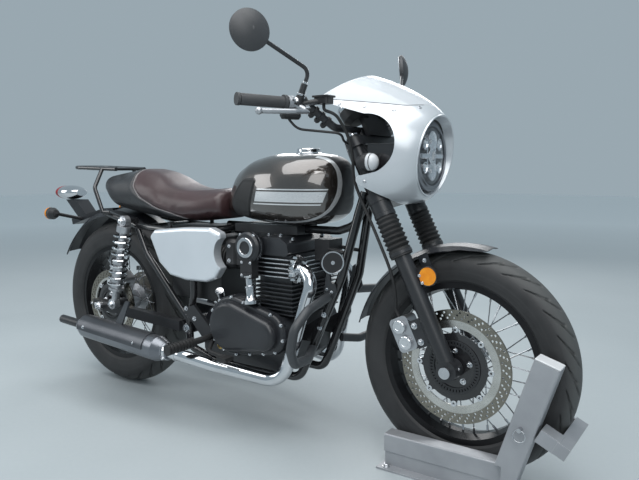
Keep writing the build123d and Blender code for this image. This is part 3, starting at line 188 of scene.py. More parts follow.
FENDER_BLACK = surface(
    "fender_black", ((0.014, 0.015, 0.018), (0.02, 0.022, 0.026)), (0.28, 0.38), 1200, 0.04, 8, 0.8,
    Specular_IOR_Level=0.36
)
ENGINE = surface(
    "engine_black", ((0.014, 0.015, 0.018), (0.022, 0.024, 0.028)), (0.32, 0.46), 700, 0.12, 12, 1.2,
    Coat_Weight=0.15
)
GUARD = surface("guard_grey", ((0.038, 0.041, 0.045), (0.05, 0.054, 0.059)), (0.38, 0.5), 1400, 0.12, 9, 1.0)
PLASTIC = surface(
    "black_plastic", ((0.013, 0.013, 0.014), (0.02, 0.02, 0.022)), (0.4, 0.52), 1500, 0.1, 10, 0.7
)
RUBBER = surface("rubber", ((0.012, 0.012, 0.012), (0.02, 0.02, 0.021)), (0.5, 0.66), 1100, 0.14, 14, 0.6)
TYRE = surface("tyre_rubber", ((0.016, 0.016, 0.017), (0.028, 0.028, 0.029)), (0.5, 0.68), 800, 0.16, 11)
CHROME = surface(
    "chrome", ((0.72, 0.73, 0.75), (0.64, 0.65, 0.67)), (0.05, 0.12), 500, 0.015, 10, 0.8, Metallic=1.0
)
STEEL = surface(
    "bright_steel", ((0.60, 0.61, 0.63), (0.50, 0.51, 0.53)), (0.16, 0.28), 900, 0.03, 20, 0.5, Metallic=1.0
)
ALLOY = surface(
    "alloy", ((0.52, 0.53, 0.55), (0.42, 0.43, 0.45)), (0.3, 0.44), 500, 0.1, 16, 0.9, Metallic=0.9
)
DISC_STEEL = surface(
    "disc_steel", ((0.62, 0.61, 0.58), (0.52, 0.51, 0.48)), (0.22, 0.34), 400, 0.03, 24, 0.4, Metallic=1.0
)
CHAIN_STEEL = surface(
    "chain_steel", ((0.30, 0.28, 0.25), (0.2, 0.19, 0.17)), (0.34, 0.5), 500, 0.1, 60, 0.5, Metallic=1.0
)
SILENCER = surface(
    "satin_grey", ((0.26, 0.27, 0.29), (0.2, 0.21, 0.23)), (0.28, 0.38), 900, 0.03, 6, 0.8, Metallic=0.9
)
LEATHER_BLACK = surface(
    "seat_black", ((0.013, 0.014, 0.016), (0.021, 0.022, 0.025)), (0.34, 0.52), 620, 0.3, 9, leather=True,
    Coat_Weight=0.25, Coat_Roughness=0.3
)
LEATHER_BROWN = surface(
    "seat_brown", ((0.036, 0.017, 0.018), (0.05, 0.025, 0.026)), (0.32, 0.5), 620, 0.3, 9, leather=True,
    Coat_Weight=0.25, Coat_Roughness=0.3
)
PIPING = surface("seat_piping", ((0.20, 0.18, 0.18), (0.28, 0.26, 0.26)), (0.4, 0.55), 900, 0.1, 30)
AMBER = surface(
    "lens_amber", ((0.95, 0.36, 0.015), (0.85, 0.26, 0.01)), (0.08, 0.2), 420, 0.4, 40, leather=True,
    Transmission_Weight=0.15
)
RED = surface(
    "lens_red", ((0.42, 0.008, 0.012), (0.3, 0.005, 0.008)), (0.08, 0.16), 420, 0.25, 30, leather=True,
    Transmission_Weight=0.3
)
CLEAR = surface(
    "lens_clear", ((0.98, 0.99, 1.0), (0.96, 0.97, 0.98)), (0.0, 0.02), 300, 0.01, 10,
    Transmission_Weight=1.0, IOR=1.25
)
LAMP_WHITE = surface(
    "lamp_white", ((0.86, 0.88, 0.9), (0.78, 0.8, 0.83)), (0.06, 0.16), 260, 0.5, 40, leather=True,
    Transmission_Weight=0.3
)
BRASS = surface(
    "brass", ((0.5, 0.36, 0.14), (0.42, 0.3, 0.11)), (0.2, 0.34), 600, 0.05, 20, 0.4, Metallic=1.0
)
HEAT_SHIELD = surface(
    "heat_shield", ((0.11, 0.115, 0.125), (0.085, 0.09, 0.1)), (0.3, 0.42), 900, 0.04, 8, 0.8, Metallic=0.8
)
MIRROR_SHELL = surface(
    "mirror_shell", ((0.035, 0.037, 0.04), (0.05, 0.052, 0.056)), (0.42, 0.55), 1500, 0.08, 9
)
GRIP = surface("grip_rubber", ((0.045, 0.046, 0.048), (0.06, 0.061, 0.064)), (0.5, 0.64), 1400, 0.12, 14, 0.6)
MIRROR = surface(
    "mirror_glass", ((0.86, 0.88, 0.9), (0.84, 0.86, 0.88)), (0.01, 0.03), 300, 0.002, 5, Metallic=1.0
)
DIAL = surface("dial_face", ((0.02, 0.02, 0.022), (0.03, 0.03, 0.032)), (0.5, 0.6), 900, 0.05, 20)
MARK = surface("dial_marks", ((0.85, 0.85, 0.83), (0.78, 0.78, 0.76)), (0.4, 0.5), 900, 0.02, 20)

NODE_FINISH = {
    CHOCK: ("chock_base", "chock_upright", "chock_cross_bar"),
    PEARL: ("fairing",),
    SILVER: ("side_covers",),
    SCREEN: ("windscreen",),
    TANK: ("fuel_tank",),
    RIM_BLACK: ("front_rim", "rear_rim"),
    FENDER_BLACK: ("front_fender", "rear_fender"),
    SATIN_BLACK: ("fork_sliders", "fork_yokes", "mirrors", "handlebar", "swingarm"),
    GLOSS_BLACK: ("frame_tubes", "luggage_rack", "chain_guard", "headlamp"),
    ENGINE: ("crankcase", "cylinders", "bevel_drive"),
    GUARD: ("engine_guards",),
    PLASTIC: ("front_signals", "rear_signals", "front_electrics", "instruments", "intake"),
    RUBBER: ("fork_gaiters", "knee_pads", "footrests", "front_brake_hose", "control_cables"),
    GRIP: ("grips",),
    TYRE: ("front_tyre", "rear_tyre"),
    CHROME: ("exhaust_pipes", "shock_springs", "tail_lamp"),
    STEEL: ("front_axle", "rear_axle", "front_spokes", "rear_spokes", "side_stand"),
    ALLOY: ("levers", "front_caliper", "rear_caliper", "front_hub", "rear_hub", "shock_absorbers"),
    DISC_STEEL: ("front_disc", "rear_disc"),
    CHAIN_STEEL: ("drive_chain", "rear_sprocket"),
    SILENCER: ("mufflers",),
    LEATHER_BLACK: ("seat",),
    AMBER: ("front_reflectors",),
    RED: ("tail_lens",),
    CLEAR: ("headlamp_lens",),
}


def tone_beyond(material, near, far, tone, centre=(0, 0, 0), axes=(1, 1, 1)):
    """Lets a finish drift to another tone between two distances (in metres) from a centre, on some axes."""
    tree = material.node_tree
    base = tree.nodes["Principled BSDF"].inputs["Base Color"]
    flat = tree.nodes.new("ShaderNodeVectorMath")
    flat.operation = "MULTIPLY"
    flat.inputs[1].default_value = axes
    tree.links.new(tree.nodes.new("ShaderNodeTexCoord").outputs["Object"], flat.inputs[0])
    apart = tree.nodes.new("ShaderNodeVectorMath")
    apart.operation = "DISTANCE"
    apart.inputs[1].default_value = [c * a for c, a in zip(centre, axes)]
    tree.links.new(flat.outputs["Vector"], apart.inputs[0])
    share = mapped(tree, apart.outputs["Value"], near, far, 0.0, 1.0)
    tree.links.new(mixed(tree, share, base.links[0].from_socket, tone), base)


def wheel_finish(material, name, axle, near, far, tone):
    """Copy of a finish that changes tone between two radii (in millimetres) round an axle."""
    copy = material.copy()
    copy.name = name
    tone_beyond(copy, near * MM, far * MM, tone, axle * MM, (1, 0, 1))
    return copy


def repaint(name, material, test):
    """Second finish on the node's faces whose centre (in millimetres) and normal pass the test."""
    mesh = nodes[name].data
    mesh.materials.append(material)
    index = len(mesh.materials) - 1
    for face in mesh.polygons:
        if test(face.center / MM, face.normal):
            face.material_index = index


SHIELD_R = 43.6
SHIELD_SPAN = (68.0, 432.0)
SILENCER_TIP = 464.0
COWL_MOUTH_X = 652.0
COWL_MIDDLE_Z = 940.0


def second_finishes():
    """Pieces of a node that differ from the rest of it, found by their place in millimetres."""

    def along_muffler(p):
        x, y, z = MUFFLER_START
        away = Vector((p.x - x, y - abs(p.y), p.z - z))
        height = away.dot(MUFFLER_RUN)
        return height, (away - MUFFLER_RUN * height).length

    def on_shield(p, _):
        height, reach = along_muffler(p)
        return reach > SHIELD_R and SHIELD_SPAN[0] < height < SHIELD_SPAN[1]

    def inside_cowl(p, n):
        return p.x < COWL_MOUTH_X and n.y * p.y + n.z * (p.z - COWL_MIDDLE_Z) < 0

    repaint("mufflers", HEAT_SHIELD, on_shield)
    repaint("mufflers", SATIN_BLACK, lambda p, _: along_muffler(p)[0] > SILENCER_TIP)
    repaint("fairing", PLASTIC, inside_cowl)
    repaint("levers", PLASTIC, lambda p, _: p.x > 402 and p.z > 1044 and abs(p.y) < 292)
    repaint("mirrors", MIRROR_SHELL, lambda p, _: abs(p.y) > 362 and p.z > 1155)
    repaint("footrests", SATIN_BLACK, lambda p, _: abs(p.y) < 152)
    repaint("footrests", STEEL, lambda p, _: p.x > 40 and abs(p.y) > 200 and p.z < 258)
    repaint("front_caliper", SATIN_BLACK, lambda p, _: -98 < p.y < -84 and p.x > 652)
    repaint("bevel_drive", PLASTIC, lambda p, _: 500 < p.z < 575)
    repaint("front_electrics", SATIN_BLACK, lambda p, _: p.x < 240)


def finish_nodes():
    for material, names in NODE_FINISH.items():
        for name in names:
            mesh = nodes[name].data
            mesh.materials.clear()
            mesh.materials.append(material)


# Mesh helpers


def moved(x, y, z):
    return Matrix.Translation(Vector((x, y, z)))


def mirrored(point, side):
    return Vector((point[0], side * point[1], point[2]))


def skin_of(mesh):
    return BVHTree.FromPolygons([v.co[:] for v in mesh.vertices], [p.vertices[:] for p in mesh.polygons])


def column_of(table, index):
    return [row[index] for row in table]


def aimed(point, axis, side=(0, 1, 0)):
    """Placing matrix with its Z along the axis."""
    z = Vector(axis).normalized()
    x = Vector(side) - z * z.dot(Vector(side))
    if x.length < 1e-6:
        x = z.orthogonal()
    x.normalize()
    y = z.cross(x)
    turn = Matrix((x, y, z)).transposed().to_4x4()
    return Matrix.Translation(Vector(point)) @ turn


class Solids:
    """Gathers small forms, in millimetres, into one mesh."""

    def __init__(self):
        self.points = []
        self.faces = []

    def add(self, points, faces, place=None):
        start = len(self.points)
        for point in points:
            self.points.append(place @ Vector(point) if place else Vector(point))
        self.faces.extend([start + index for index in face] for face in faces)

    def turned(self, outline, place, around=24):
        """Outline of (radius, height) turned about the placing matrix's Z."""
        points = []
        for step in range(around):
            turn = 2 * pi * step / around
            points.extend((radius * cos(turn), radius * sin(turn), height) for radius, height in outline)
        rows = len(outline)
        faces = []
        for step in range(around):
            one = step * rows
            two = (step + 1) % around * rows
            for row in range(rows - 1):
                faces.append((one + row, two + row, two + row + 1, one + row + 1))
        self.add(points, faces, place)

    def rod(self, start, end, radius, around=12):
        run = Vector(end) - Vector(start)
        outline = [(0, 0), (radius, 0), (radius, run.length), (0, run.length)]
        self.turned(outline, aimed(start, run), around)

    def bolt(self, point, axis, radius, height, around=6):
        place = aimed(point, axis)
        washer = [(0, 0), (radius * 1.35, 0), (radius * 1.35, height * 0.2), (0, height * 0.2)]
        self.turned(washer, place, 18)
        head = [
            (radius, height * 0.2), (radius, height * 0.88), (radius * 0.86, height), (radius * 0.5, height)
        ]
        head += [(radius * 0.45, height * 0.6), (0, height * 0.6)]
        self.turned(head, place, around)

    def block(self, size, place, bevel=0.0):
        a, b, c = (length / 2 for length in size)
        k = min(bevel, a, b, c)
        outline = [
            (a - k, b), (a, b - k), (a, k - b), (a - k, -b), (k - a, -b), (-a, k - b), (-a, b - k),
            (k - a, b)
        ]
        points = []
        for height, inset in ((-c, k), (k - c, 0), (c - k, 0), (c, k)):
            points.extend((x * (1 - inset / a), y * (1 - inset / b), height) for x, y in outline)
        count = len(outline)
        faces = [tuple(reversed(range(count))), tuple(range(3 * count, 4 * count))]
        for layer in range(3):
            for index in range(count):
                after = (index + 1) % count
                low = layer * count
                faces.append((low + index, low + after, low + count + after, low + count + index))
        self.add(points, faces, place)

    def piece(self, name, material, crease=35):
        return mesh_piece(name, self.points, self.faces, material, crease)


def mesh_piece(name, points, faces, material, crease=35):
    """Mesh object from millimetre points, smooth but for edges sharper than the crease."""
    mesh = bpy.data.meshes.new(name)
    mesh.from_pydata([tuple(MM * value for value in point) for point in points], [], faces)
    mesh.validate()
    mesh.polygons.foreach_set("use_smooth", [True] * len(mesh.polygons))
    mesh.set_sharp_from_angle(angle=radians(crease))
    mesh.materials.append(material)
    piece = bpy.data.objects.new(name, mesh)
    bpy.context.scene.collection.objects.link(piece)
    return piece


def grid_faces(rows, columns, closed_rows=False, closed_columns=False):
    """Quads of a grid stored row by row."""
    faces = []
    for row in range(rows if closed_rows else rows - 1):
        below = row * columns
        above = (row + 1) % rows * columns
        for column in range(columns if closed_columns else columns - 1):
            after = (column + 1) % columns
            faces.append((below + column, below + after, above + after, above + column))
    return faces


def capped_shell(half_rings):
    """Points and faces of a closed skin from half rings that run from the belly up to the crest."""
    points = []
    for ring in half_rings:
        points.extend(ring)
        points.extend(mirrored(point, -1) for point in reversed(ring[1:-1]))
    around = 2 * len(half_rings[0]) - 2
    faces = grid_faces(len(half_rings), around, closed_columns=True)
    faces.append(list(reversed(range(around))))
    faces.append([(len(half_rings) - 1) * around + index for index in range(around)])
    return points, faces


def line_piece(name, points, radius, material, closed=False):
    """Smooth round line through its control points."""
    curve = bpy.data.curves.new(name, "CURVE")
    curve.dimensions = "3D"
    curve.bevel_depth = radius * MM
    curve.bevel_resolution = 3
    curve.resolution_u = 6
    curve.use_fill_caps = True
    spline = curve.splines.new("NURBS")
    spline.points.add(len(points) - 1)
    for slot, point in zip(spline.points, points):
        slot.co = (*(Vector(point) * MM), 1.0)
    spline.use_cyclic_u = closed
    spline.order_u = 3
    spline.use_endpoint_u = not closed
    curve.materials.append(material)
    piece = bpy.data.objects.new(name, curve)
    bpy.context.scene.collection.objects.link(piece)
    return piece


def plate_piece(name, loops, thickness, place, material, bevel=0.3):
    """Flat plate with holes: closed (x, y) loops, the outer one first, in the placing matrix's XY plane."""
    curve = bpy.data.curves.new(name, "CURVE")
    curve.dimensions = "2D"
    curve.fill_mode = "BOTH"
    curve.extrude = (thickness / 2 - bevel) * MM
    curve.bevel_depth = bevel * MM
    curve.bevel_resolution = 1
    for loop in loops:
        spline = curve.splines.new("POLY")
        spline.points.add(len(loop) - 1)
        spline.use_cyclic_u = True
        for slot, (x, y) in zip(spline.points, loop):
            slot.co = (x * MM, y * MM, 0.0, 1.0)
    holder = bpy.data.objects.new(name + "_outline", curve)
    bpy.context.scene.collection.objects.link(holder)
    graph = bpy.context.evaluated_depsgraph_get()
    mesh = bpy.data.meshes.new_from_object(holder.evaluated_get(graph))
    bpy.data.objects.remove(holder)
    mesh.transform(Matrix.Translation(place.translation * MM) @ place.to_3x3().to_4x4())
    mesh.materials.clear()
    mesh.materials.append(material)
    mesh.polygons.foreach_set("use_smooth", [True] * len(mesh.polygons))
    mesh.set_sharp_from_angle(angle=radians(30))
    mesh.name = name
    piece = bpy.data.objects.new(name, mesh)
    bpy.context.scene.collection.objects.link(piece)
    return piece


def ring_of(radius, count):
    turns = [2 * pi * index / count for index in range(count)]
    return [(radius * cos(turn), radius * sin(turn)) for turn in turns]


def circle_at(x, y, radius, count=12):
    return [(x + u, y + v) for u, v in ring_of(radius, count)]


def fit(piece, body, slot, *stands_for):
    """Says which body a piece rides and the nodes that it stands for; the finish's slot is not used."""
    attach(piece, body)
    if stands_for:
        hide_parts(*stands_for)
    return piece


def eased(table, column, x):
    """Smooth value at x from the rows of a table whose first column rises."""
    xs = column_of(table, 0)
    ys = column_of(table, column)
    slopes = np.gradient(ys, xs)
    at = int(np.clip(np.searchsorted(xs, x) - 1, 0, len(xs) - 2))
    span = xs[at + 1] - xs[at]
    t = float(np.clip((x - xs[at]) / span, 0, 1))
    rise = (2 * t**3 - 3 * t**2 + 1) * ys[at] + (t**3 - 2 * t**2 + t) * span * slopes[at]
    return rise + (3 * t**2 - 2 * t**3) * ys[at + 1] + (t**3 - t**2) * span * slopes[at + 1]


def smoothstep(low, high, value):
    t = np.clip((value - low) / (high - low), 0.0, 1.0)
    return t * t * (3 - 2 * t)


# Wheels

TYRE_STEPS = 720
WALL_STEPS = 18
CROWN_SHARE = 0.52
WALL_RINGS = (0.25, 0.45, 0.8)
GROOVE_DEPTH = 4.2
GROOVES = [
    # phase in pitches, first and last angle round the crown, sweep in pitches, half width
    (0.0, 6, 60, 1.15, 3.2),
    (0.5, 24, 66, 0.8, 2.6),
]
PAST_CROWN = 95.0
# Paler grey for the tyre's crown: painted skylight on the tread, lighter than the walls.
TREAD_LIT_GREY = (0.07, 0.072, 0.071)
SWEPT_BROWN = (0.25, 0.235, 0.2)
DISC_THICK = 5.0
HOLE_R = 3.8
HOLE_ROWS = [
    # in from the disc's edge, share of a pitch
    (7, 0.0),
    (15, 0.33),
    (23, 0.66),
]
LUGS = 8
HUB_BOLTS = 5
CARRIER_STEPS = 240
SENSOR_SLOTS = 48
BOBBIN = [(3.5, 1), (3.5, 0), (8.5, 0), (9, 0.6), (9, 7.4), (8.5, 8), (3.5, 8), (3.5, 1)]


def tyre_piece(node, body, pitches):
    """Tyre with a round crown, slanting grooves and moulded rings on its walls."""
    low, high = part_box(node)
    axle, radius = wheel_of(node)
    width = (high.y - low.y) / MM
    depth = radius - BEAD_R
    crown = np.radians(np.linspace(-90, 90, 91))
    wall = np.radians(np.linspace(5, 90, WALL_STEPS))
    crown_r = radius - CROWN_SHARE * depth * (1 - np.cos(crown))
    crown_y = width / 2 * np.sin(crown)
    wall_r = radius - CROWN_SHARE * depth - ((1 - CROWN_SHARE) * depth - 2) * np.sin(wall)
    wall_y = width / 2 - 0.12 * width * (1 - np.cos(wall))
    for place in WALL_RINGS:
        wall_y = wall_y + 0.9 * np.exp(-(((np.sin(wall) - place) / 0.04) ** 2))
    section_r = np.concatenate([wall_r[::-1], crown_r, wall_r])
    section_y = np.concatenate([-wall_y[::-1], crown_y, wall_y])
    past = np.full(WALL_STEPS, PAST_CROWN)
    slant = np.concatenate([-past, np.degrees(crown), past])
    normal_r = np.gradient(section_y)
    normal_y = -np.gradient(section_r)
    size = np.hypot(normal_r, normal_y)
    turn = np.linspace(0, 2 * pi, TYRE_STEPS, endpoint=False)
    side = np.abs(slant)[None, :]
    phase = turn[:, None] * pitches / (2 * pi) + np.where(slant < 0, 0.5, 0.0)[None, :]
    pitch_mm = 2 * pi * radius / pitches
    depth_map = np.zeros((TYRE_STEPS, len(slant)))
    for shift, inner, outer, sweep, half in GROOVES:
        share = np.clip((side - inner) / (outer - inner), 0, 1)
        line = phase - shift - sweep * share**1.4
        away = np.abs(line - np.round(line)) * pitch_mm * 0.8
        ends = smoothstep(inner - 3, inner + 4, side) * (1 - smoothstep(outer - 4, outer + 3, side))
        depth_map = np.maximum(depth_map, (1 - smoothstep(half - 1.4, half + 1.2, away)) * ends)
    ring_r = section_r[None, :] - GROOVE_DEPTH * depth_map * (normal_r / size)[None, :]
    ring_y = section_y[None, :] - GROOVE_DEPTH * depth_map * (normal_y / size)[None, :]
    across = axle.x + ring_r * np.cos(turn)[:, None]
    up = axle.z + ring_r * np.sin(turn)[:, None]
    points = np.stack([across, axle.y + ring_y, up], axis=-1).reshape(-1, 3)
    faces = grid_faces(TYRE_STEPS, len(slant), closed_rows=True)
    # The tread is painted a paler grey from near the crown outwards: painted skylight, not wear.
    lit_tread_finish = wheel_finish(TYRE, node + "_rubber", axle, radius - 30, radius - 8, TREAD_LIT_GREY)
    piece = mesh_piece(node + "_tread", points, faces, lit_tread_finish, 50)
    return fit(piece, body, "tyre", node)


def spoke_piece(node, body, axle, flange_r, flange_y):
    """Round spokes crossing from the hub's flanges to the rim, each with its nipple."""
    solids = Solids()
    for index in range(SPOKES):
        lean = 1 if index % 4 < 2 else -1
        side = (-1, 1)[index % 2]
        rim_turn = radians(index * 360 / SPOKES)
        hub_turn = radians(index * 360 / SPOKES + 52 * lean)
        hub_y = side * flange_y + 2.6 * lean
        start = axle + Vector(((flange_r - 5) * cos(hub_turn), hub_y, (flange_r - 5) * sin(hub_turn)))
        reach = RIM_INNER_R + 3
        end = axle + Vector((reach * cos(rim_turn), 6 * side, reach * sin(rim_turn)))
        run = (end - start).normalized()
        solids.rod(start, end, 1.8, 8)
        solids.rod(end - run * 20, end - run * 3, 3.3, 8)
        solids.turned([(0, -3), (3.4, -2), (3.4, 2), (0, 3)], aimed(start, (0, 1, 0)), 10)
    return fit(solids.piece(node + "_round", STEEL), body, "satin_silver", node)


def disc_pieces(node, body, axle, y, radius, inner, hub_r, face, holes):
    """Drilled ring, dark carrier with its lugs, bobbins, slotted sensor ring and bolts."""
    place = aimed(axle + Vector((0, y, 0)), (0, -1, 0), (1, 0, 0))
    loops = [ring_of(radius, 160), ring_of(inner + 2, 120)]
    for inset, offset in HOLE_ROWS:
        reach = radius - inset
        for index in range(holes):
            turn = 2 * pi * (index + offset) / holes
            loops.append(circle_at(reach * cos(turn), reach * sin(turn), HOLE_R, 10))
    swept = wheel_finish(DISC_STEEL, node + "_steel", axle, radius - 30, radius - 28, SWEPT_BROWN)
    ring = plate_piece(node + "_ring", loops, DISC_THICK, place, swept)
    fit(ring, body, "disc_steel", node)
    outline = []
    for index in range(CARRIER_STEPS):
        turn = 2 * pi * index / CARRIER_STEPS
        near = abs((turn * LUGS / (2 * pi) + 0.5) % 1.0 - 0.5)
        reach = inner - 14 + 11 * (1 - float(smoothstep(0.06, 0.16, near)))
        outline.append((reach * cos(turn), reach * sin(turn)))
    carrier = plate_piece(
        node + "_carrier", [outline, ring_of(hub_r, 40)], DISC_THICK, place, GLOSS_BLACK, 0.6
    )
    fit(carrier, body, "engine_black")
    slots = []
    sensor_r = inner * 0.62
    for index in range(SENSOR_SLOTS):
        turn = 2 * pi * index / SENSOR_SLOTS
        edge = []
        for reach, spread in ((-4, -1), (4, -1), (4, 1), (-4, 1)):
            bearing = turn + spread * 0.028
            edge.append(((sensor_r + reach) * cos(bearing), (sensor_r + reach) * sin(bearing)))
        slots.append(edge)
    edges = [ring_of(sensor_r + 8, 96), ring_of(sensor_r - 8, 96)]
    out = moved(0, face * DISC_THICK, 0)
    sensor = plate_piece(node + "_sensor", edges + slots, 2, out @ place, SATIN_BLACK)
    fit(sensor, body, "engine_black")
    solids = Solids()
    for index in range(LUGS):
        turn = 2 * pi * index / LUGS
        spot = axle + Vector(((inner - 3) * cos(turn), y - 4, (inner - 3) * sin(turn)))
        solids.turned(BOBBIN, aimed(spot, (0, 1, 0)), 20)
    for index in range(HUB_BOLTS):
        turn = 2 * pi * index / HUB_BOLTS + 0.3
        spot = axle + Vector((inner * 0.42 * cos(turn), y + face * 2.5, inner * 0.42 * sin(turn)))
        solids.bolt(spot, (0, face, 0), 6.5, 7)
    fit(solids.piece(node + "_bobbins", CHROME), body, "chrome")


def build_wheels():
    tyre_piece("front_tyre", "front_wheel", 26)
    tyre_piece("rear_tyre", "rear_wheel", 24)
    spoke_piece("front_spokes", "front_wheel", FRONT_AXLE, 52, 44)
    spoke_piece("rear_spokes", "rear_wheel", REAR_AXLE, 60, 46)
    disc_pieces("front_disc", "front_wheel", FRONT_AXLE, -68, 160, 108, 24, -1, 42)
    disc_pieces("rear_disc", "rear_wheel", REAR_AXLE, -82, 135, 96, 24, -1, 36)


# Tank

TANK_BELLY = 0.46
CREST_BEND = 0.86
BELLY_BEND = 0.66
TANK_STATIONS = [
    # x, half width, floor z, crest z
    (-52.0, 60.0, 722.0, 772.0),
    (-20.0, 84.0, 712.0, 846.0),
    (40.0, 114.0, 701.0, 894.0),
    (110.0, 131.0, 693.0, 915.0),
    (240.0, 141.0, 689.0, 920.5),
    (290.0, 133.0, 692.5, 919.5),
    (322.0, 121.0, 698.0, 916.5),
    (346.0, 105.0, 708.0, 911.0),
    (366.0, 85.0, 724.0, 903.0),
    (382.0, 61.0, 750.0, 890.0),
    (390.0, 42.0, 775.0, 877.0),
    (394.5, 24.0, 800.0, 862.0),
    (396.0, 6.0, 826.0, 846.0),
]
TANK_STRIP = [
    # x, z of the pale line's middle, from the crest's front round to the belly
    (318.0, 907.0),
    (348.0, 900.0),
    (370.0, 887.0),
    (383.0, 868.0),
    (389.0, 845.0),
    (390.0, 818.0),
    (387.0, 791.0),
    (379.0, 765.0),
    (366.0, 743.0),
    (346.0, 726.0),
    (318.0, 714.0),
    (280.0, 707.0),
    (230.0, 704.0),
    (180.0, 704.0),
    (140.0, 706.0),
]
STRIP_HALF = 3.0
STRIP_STEPS = 160
BOW_X = 346.0
BANDS = [
    # name, low z, high z
    ("band", 768.0, 800.0),
    ("line_low", 759.0, 763.0),
    ("line_high", 805.0, 809.0),
]
BAND_ENDS = [
    # z, rear end x, front end x
    (758.0, 116.0, 352.0),
    (765.5, 122.0, 358.0),
    (784.0, 128.0, 364.0),
    (802.0, 133.0, 369.0),
    (809.0, 136.0, 372.0),
]
BAND_GRID = (8, 60)
CAP_PLACE = (243, 0, 914)
CAP_OUTLINE = [(0, 0), (44, 0), (44, 6), (40, 9), (38, 9), (38, 18), (36, 21), (24, 22.5), (0, 22.5)]
PAD_GRID = (40, 32)
PAD_ROWS = [
    # z, rear edge x, front edge x
    (714.0, 6.0, 78.0),
    (722.0, 0.0, 88.0),
    (738.0, -5.0, 96.0),
    (764.0, -6.0, 104.0),
    (790.0, 14.0, 113.0),
    (815.0, 40.0, 122.0),
    (834.0, 62.0, 128.0),
    (843.0, 84.0, 120.0),
]


def tank_point(x, turn):
    """Point of the tank's skin at a station and an angle from the belly (-90) up to the crest (90)."""
    half = eased(TANK_STATIONS, 1, x)
    low = eased(TANK_STATIONS, 2, x)
    high = eased(TANK_STATIONS, 3, x)
    belly = low + TANK_BELLY * (high - low)
    reach = high - belly if turn > 0 else belly - low
    bend = CREST_BEND if turn > 0 else BELLY_BEND
    y = half * max(cos(radians(turn)), 0.0) ** (0.8 if turn > 0 else 0.7)
    z = belly + reach * (1 if turn > 0 else -1) * abs(sin(radians(turn))) ** bend
    return Vector((x, y, z))


def tank_side(x, z, side, lift):
    """Point on the tank's flank at a side-view place, lifted off the paint."""
    low = eased(TANK_STATIONS, 2, x)
    high = eased(TANK_STATIONS, 3, x)
    belly = low + TANK_BELLY * (high - low)
    if z > belly:
        share = ((z - belly) / (high - belly)) ** (1 / CREST_BEND)
    else:
        share = -(((belly - z) / (belly - low)) ** (1 / BELLY_BEND))
    turn = np.degrees(np.arcsin(np.clip(share, -0.999, 0.999)))
    point = tank_point(x, turn)
    along = tank_point(x + 1, turn) - point
    across = tank_point(x, turn + 0.5) - point
    out = along.cross(across).normalized()
    if out.y < 0:
        out = -out
    return mirrored(point + out * lift, side)


def strip_at(at):
    """Side-view place of the pale line at a share counted in table rows."""
    table = [(row, x, z) for row, (x, z) in enumerate(TANK_STRIP)]
    return np.array([eased(table, 1, at), eased(table, 2, at)])


def build_tank():
    """Shell with its nose painted dark as shade, filler cap, plain bands and the pale line round the nose."""
    xs = np.concatenate([np.linspace(-52, 340, 70), np.linspace(343, 386, 40), np.linspace(386.5, 396, 24)])
    turns = np.linspace(-90, 90, 61)
    points, faces = capped_shell([[tank_point(x, turn) for turn in turns] for x in xs])
    shell = mesh_piece("tank_shell", points, faces, TANK, 60)
    # Faces ahead of the pale line's front round take the black finish: painted shade on the tank's unlit
    # front face.
    shell.data.materials.append(PLASTIC)
    bow = [row for row in reversed(TANK_STRIP) if row[0] >= BOW_X]
    for face in shell.data.polygons:
        x, _, z = face.center / MM
        edge = np.interp(z, column_of(bow, 1), column_of(bow, 0))
        if x > edge and z > bow[0][1]:
            face.material_index = 1
    fit(shell, "main_frame", "tank_brown", "fuel_tank")
    cap = Solids()
    cap.turned(CAP_OUTLINE, aimed(CAP_PLACE, (0, 0, 1)), 48)
    fit(cap.piece("tank_cap", CHROME), "main_frame", "chrome")
    heights = column_of(BAND_ENDS, 0)
    for side, label in SIDES:
        for name, low, high in BANDS:
            decal = []
            for z in np.linspace(low, high, BAND_GRID[0]):
                back = np.interp(z, heights, column_of(BAND_ENDS, 1))
                ahead = np.interp(z, heights, column_of(BAND_ENDS, 2))
                shares = np.linspace(0, 1, BAND_GRID[1])
                decal.extend(tank_side(back + (ahead - back) * share, z, side, 0.5) for share in shares)
            piece = mesh_piece(f"tank_{name}_{label}", decal, grid_faces(*BAND_GRID), STRIPE, 80)
            fit(piece, "main_frame", "satin_silver")
        strip = []
        for offset in np.linspace(-STRIP_HALF, STRIP_HALF, 5):
            for at in np.linspace(0, len(TANK_STRIP) - 1, STRIP_STEPS):
                x, z = strip_at(at)
                ahead = strip_at(at + 0.05) - strip_at(at - 0.05)
                ahead = ahead / np.linalg.norm(ahead)
                strip.append(tank_side(x - ahead[1] * offset, z + ahead[0] * offset, side, 0.6))
        edge = mesh_piece(f"tank_edge_{label}", strip, grid_faces(5, STRIP_STEPS), STRIPE, 80)
        fit(edge, "main_frame", "satin_silver")


def build_knee_pads():
    """Rubber pads moulded to the flanks, with a raised rim."""
    heights = column_of(PAD_ROWS, 0)
    for side, label in SIDES:
        points = []
        for z in np.linspace(heights[0], heights[-1], PAD_GRID[0]):
            rear = float(np.interp(z, heights, column_of(PAD_ROWS, 1)))
            length = float(np.interp(z, heights, column_of(PAD_ROWS, 2))) - rear
            for share in np.linspace(0, 1, PAD_GRID[1]):
                inset = min(share * length, (1 - share) * length, z - heights[0], heights[-1] - z)
                rim = 5.2 * float(smoothstep(-1, 5, inset)) - 1.6 * float(smoothstep(8, 13, inset))
                points.append(tank_side(rear + length * share, z, side, rim - 0.6))
        pad = mesh_piece(f"knee_pad_{label}", points, grid_faces(*PAD_GRID), RUBBER, 70)
        fit(pad, "main_frame", "rubber", "knee_pads")


# Seat

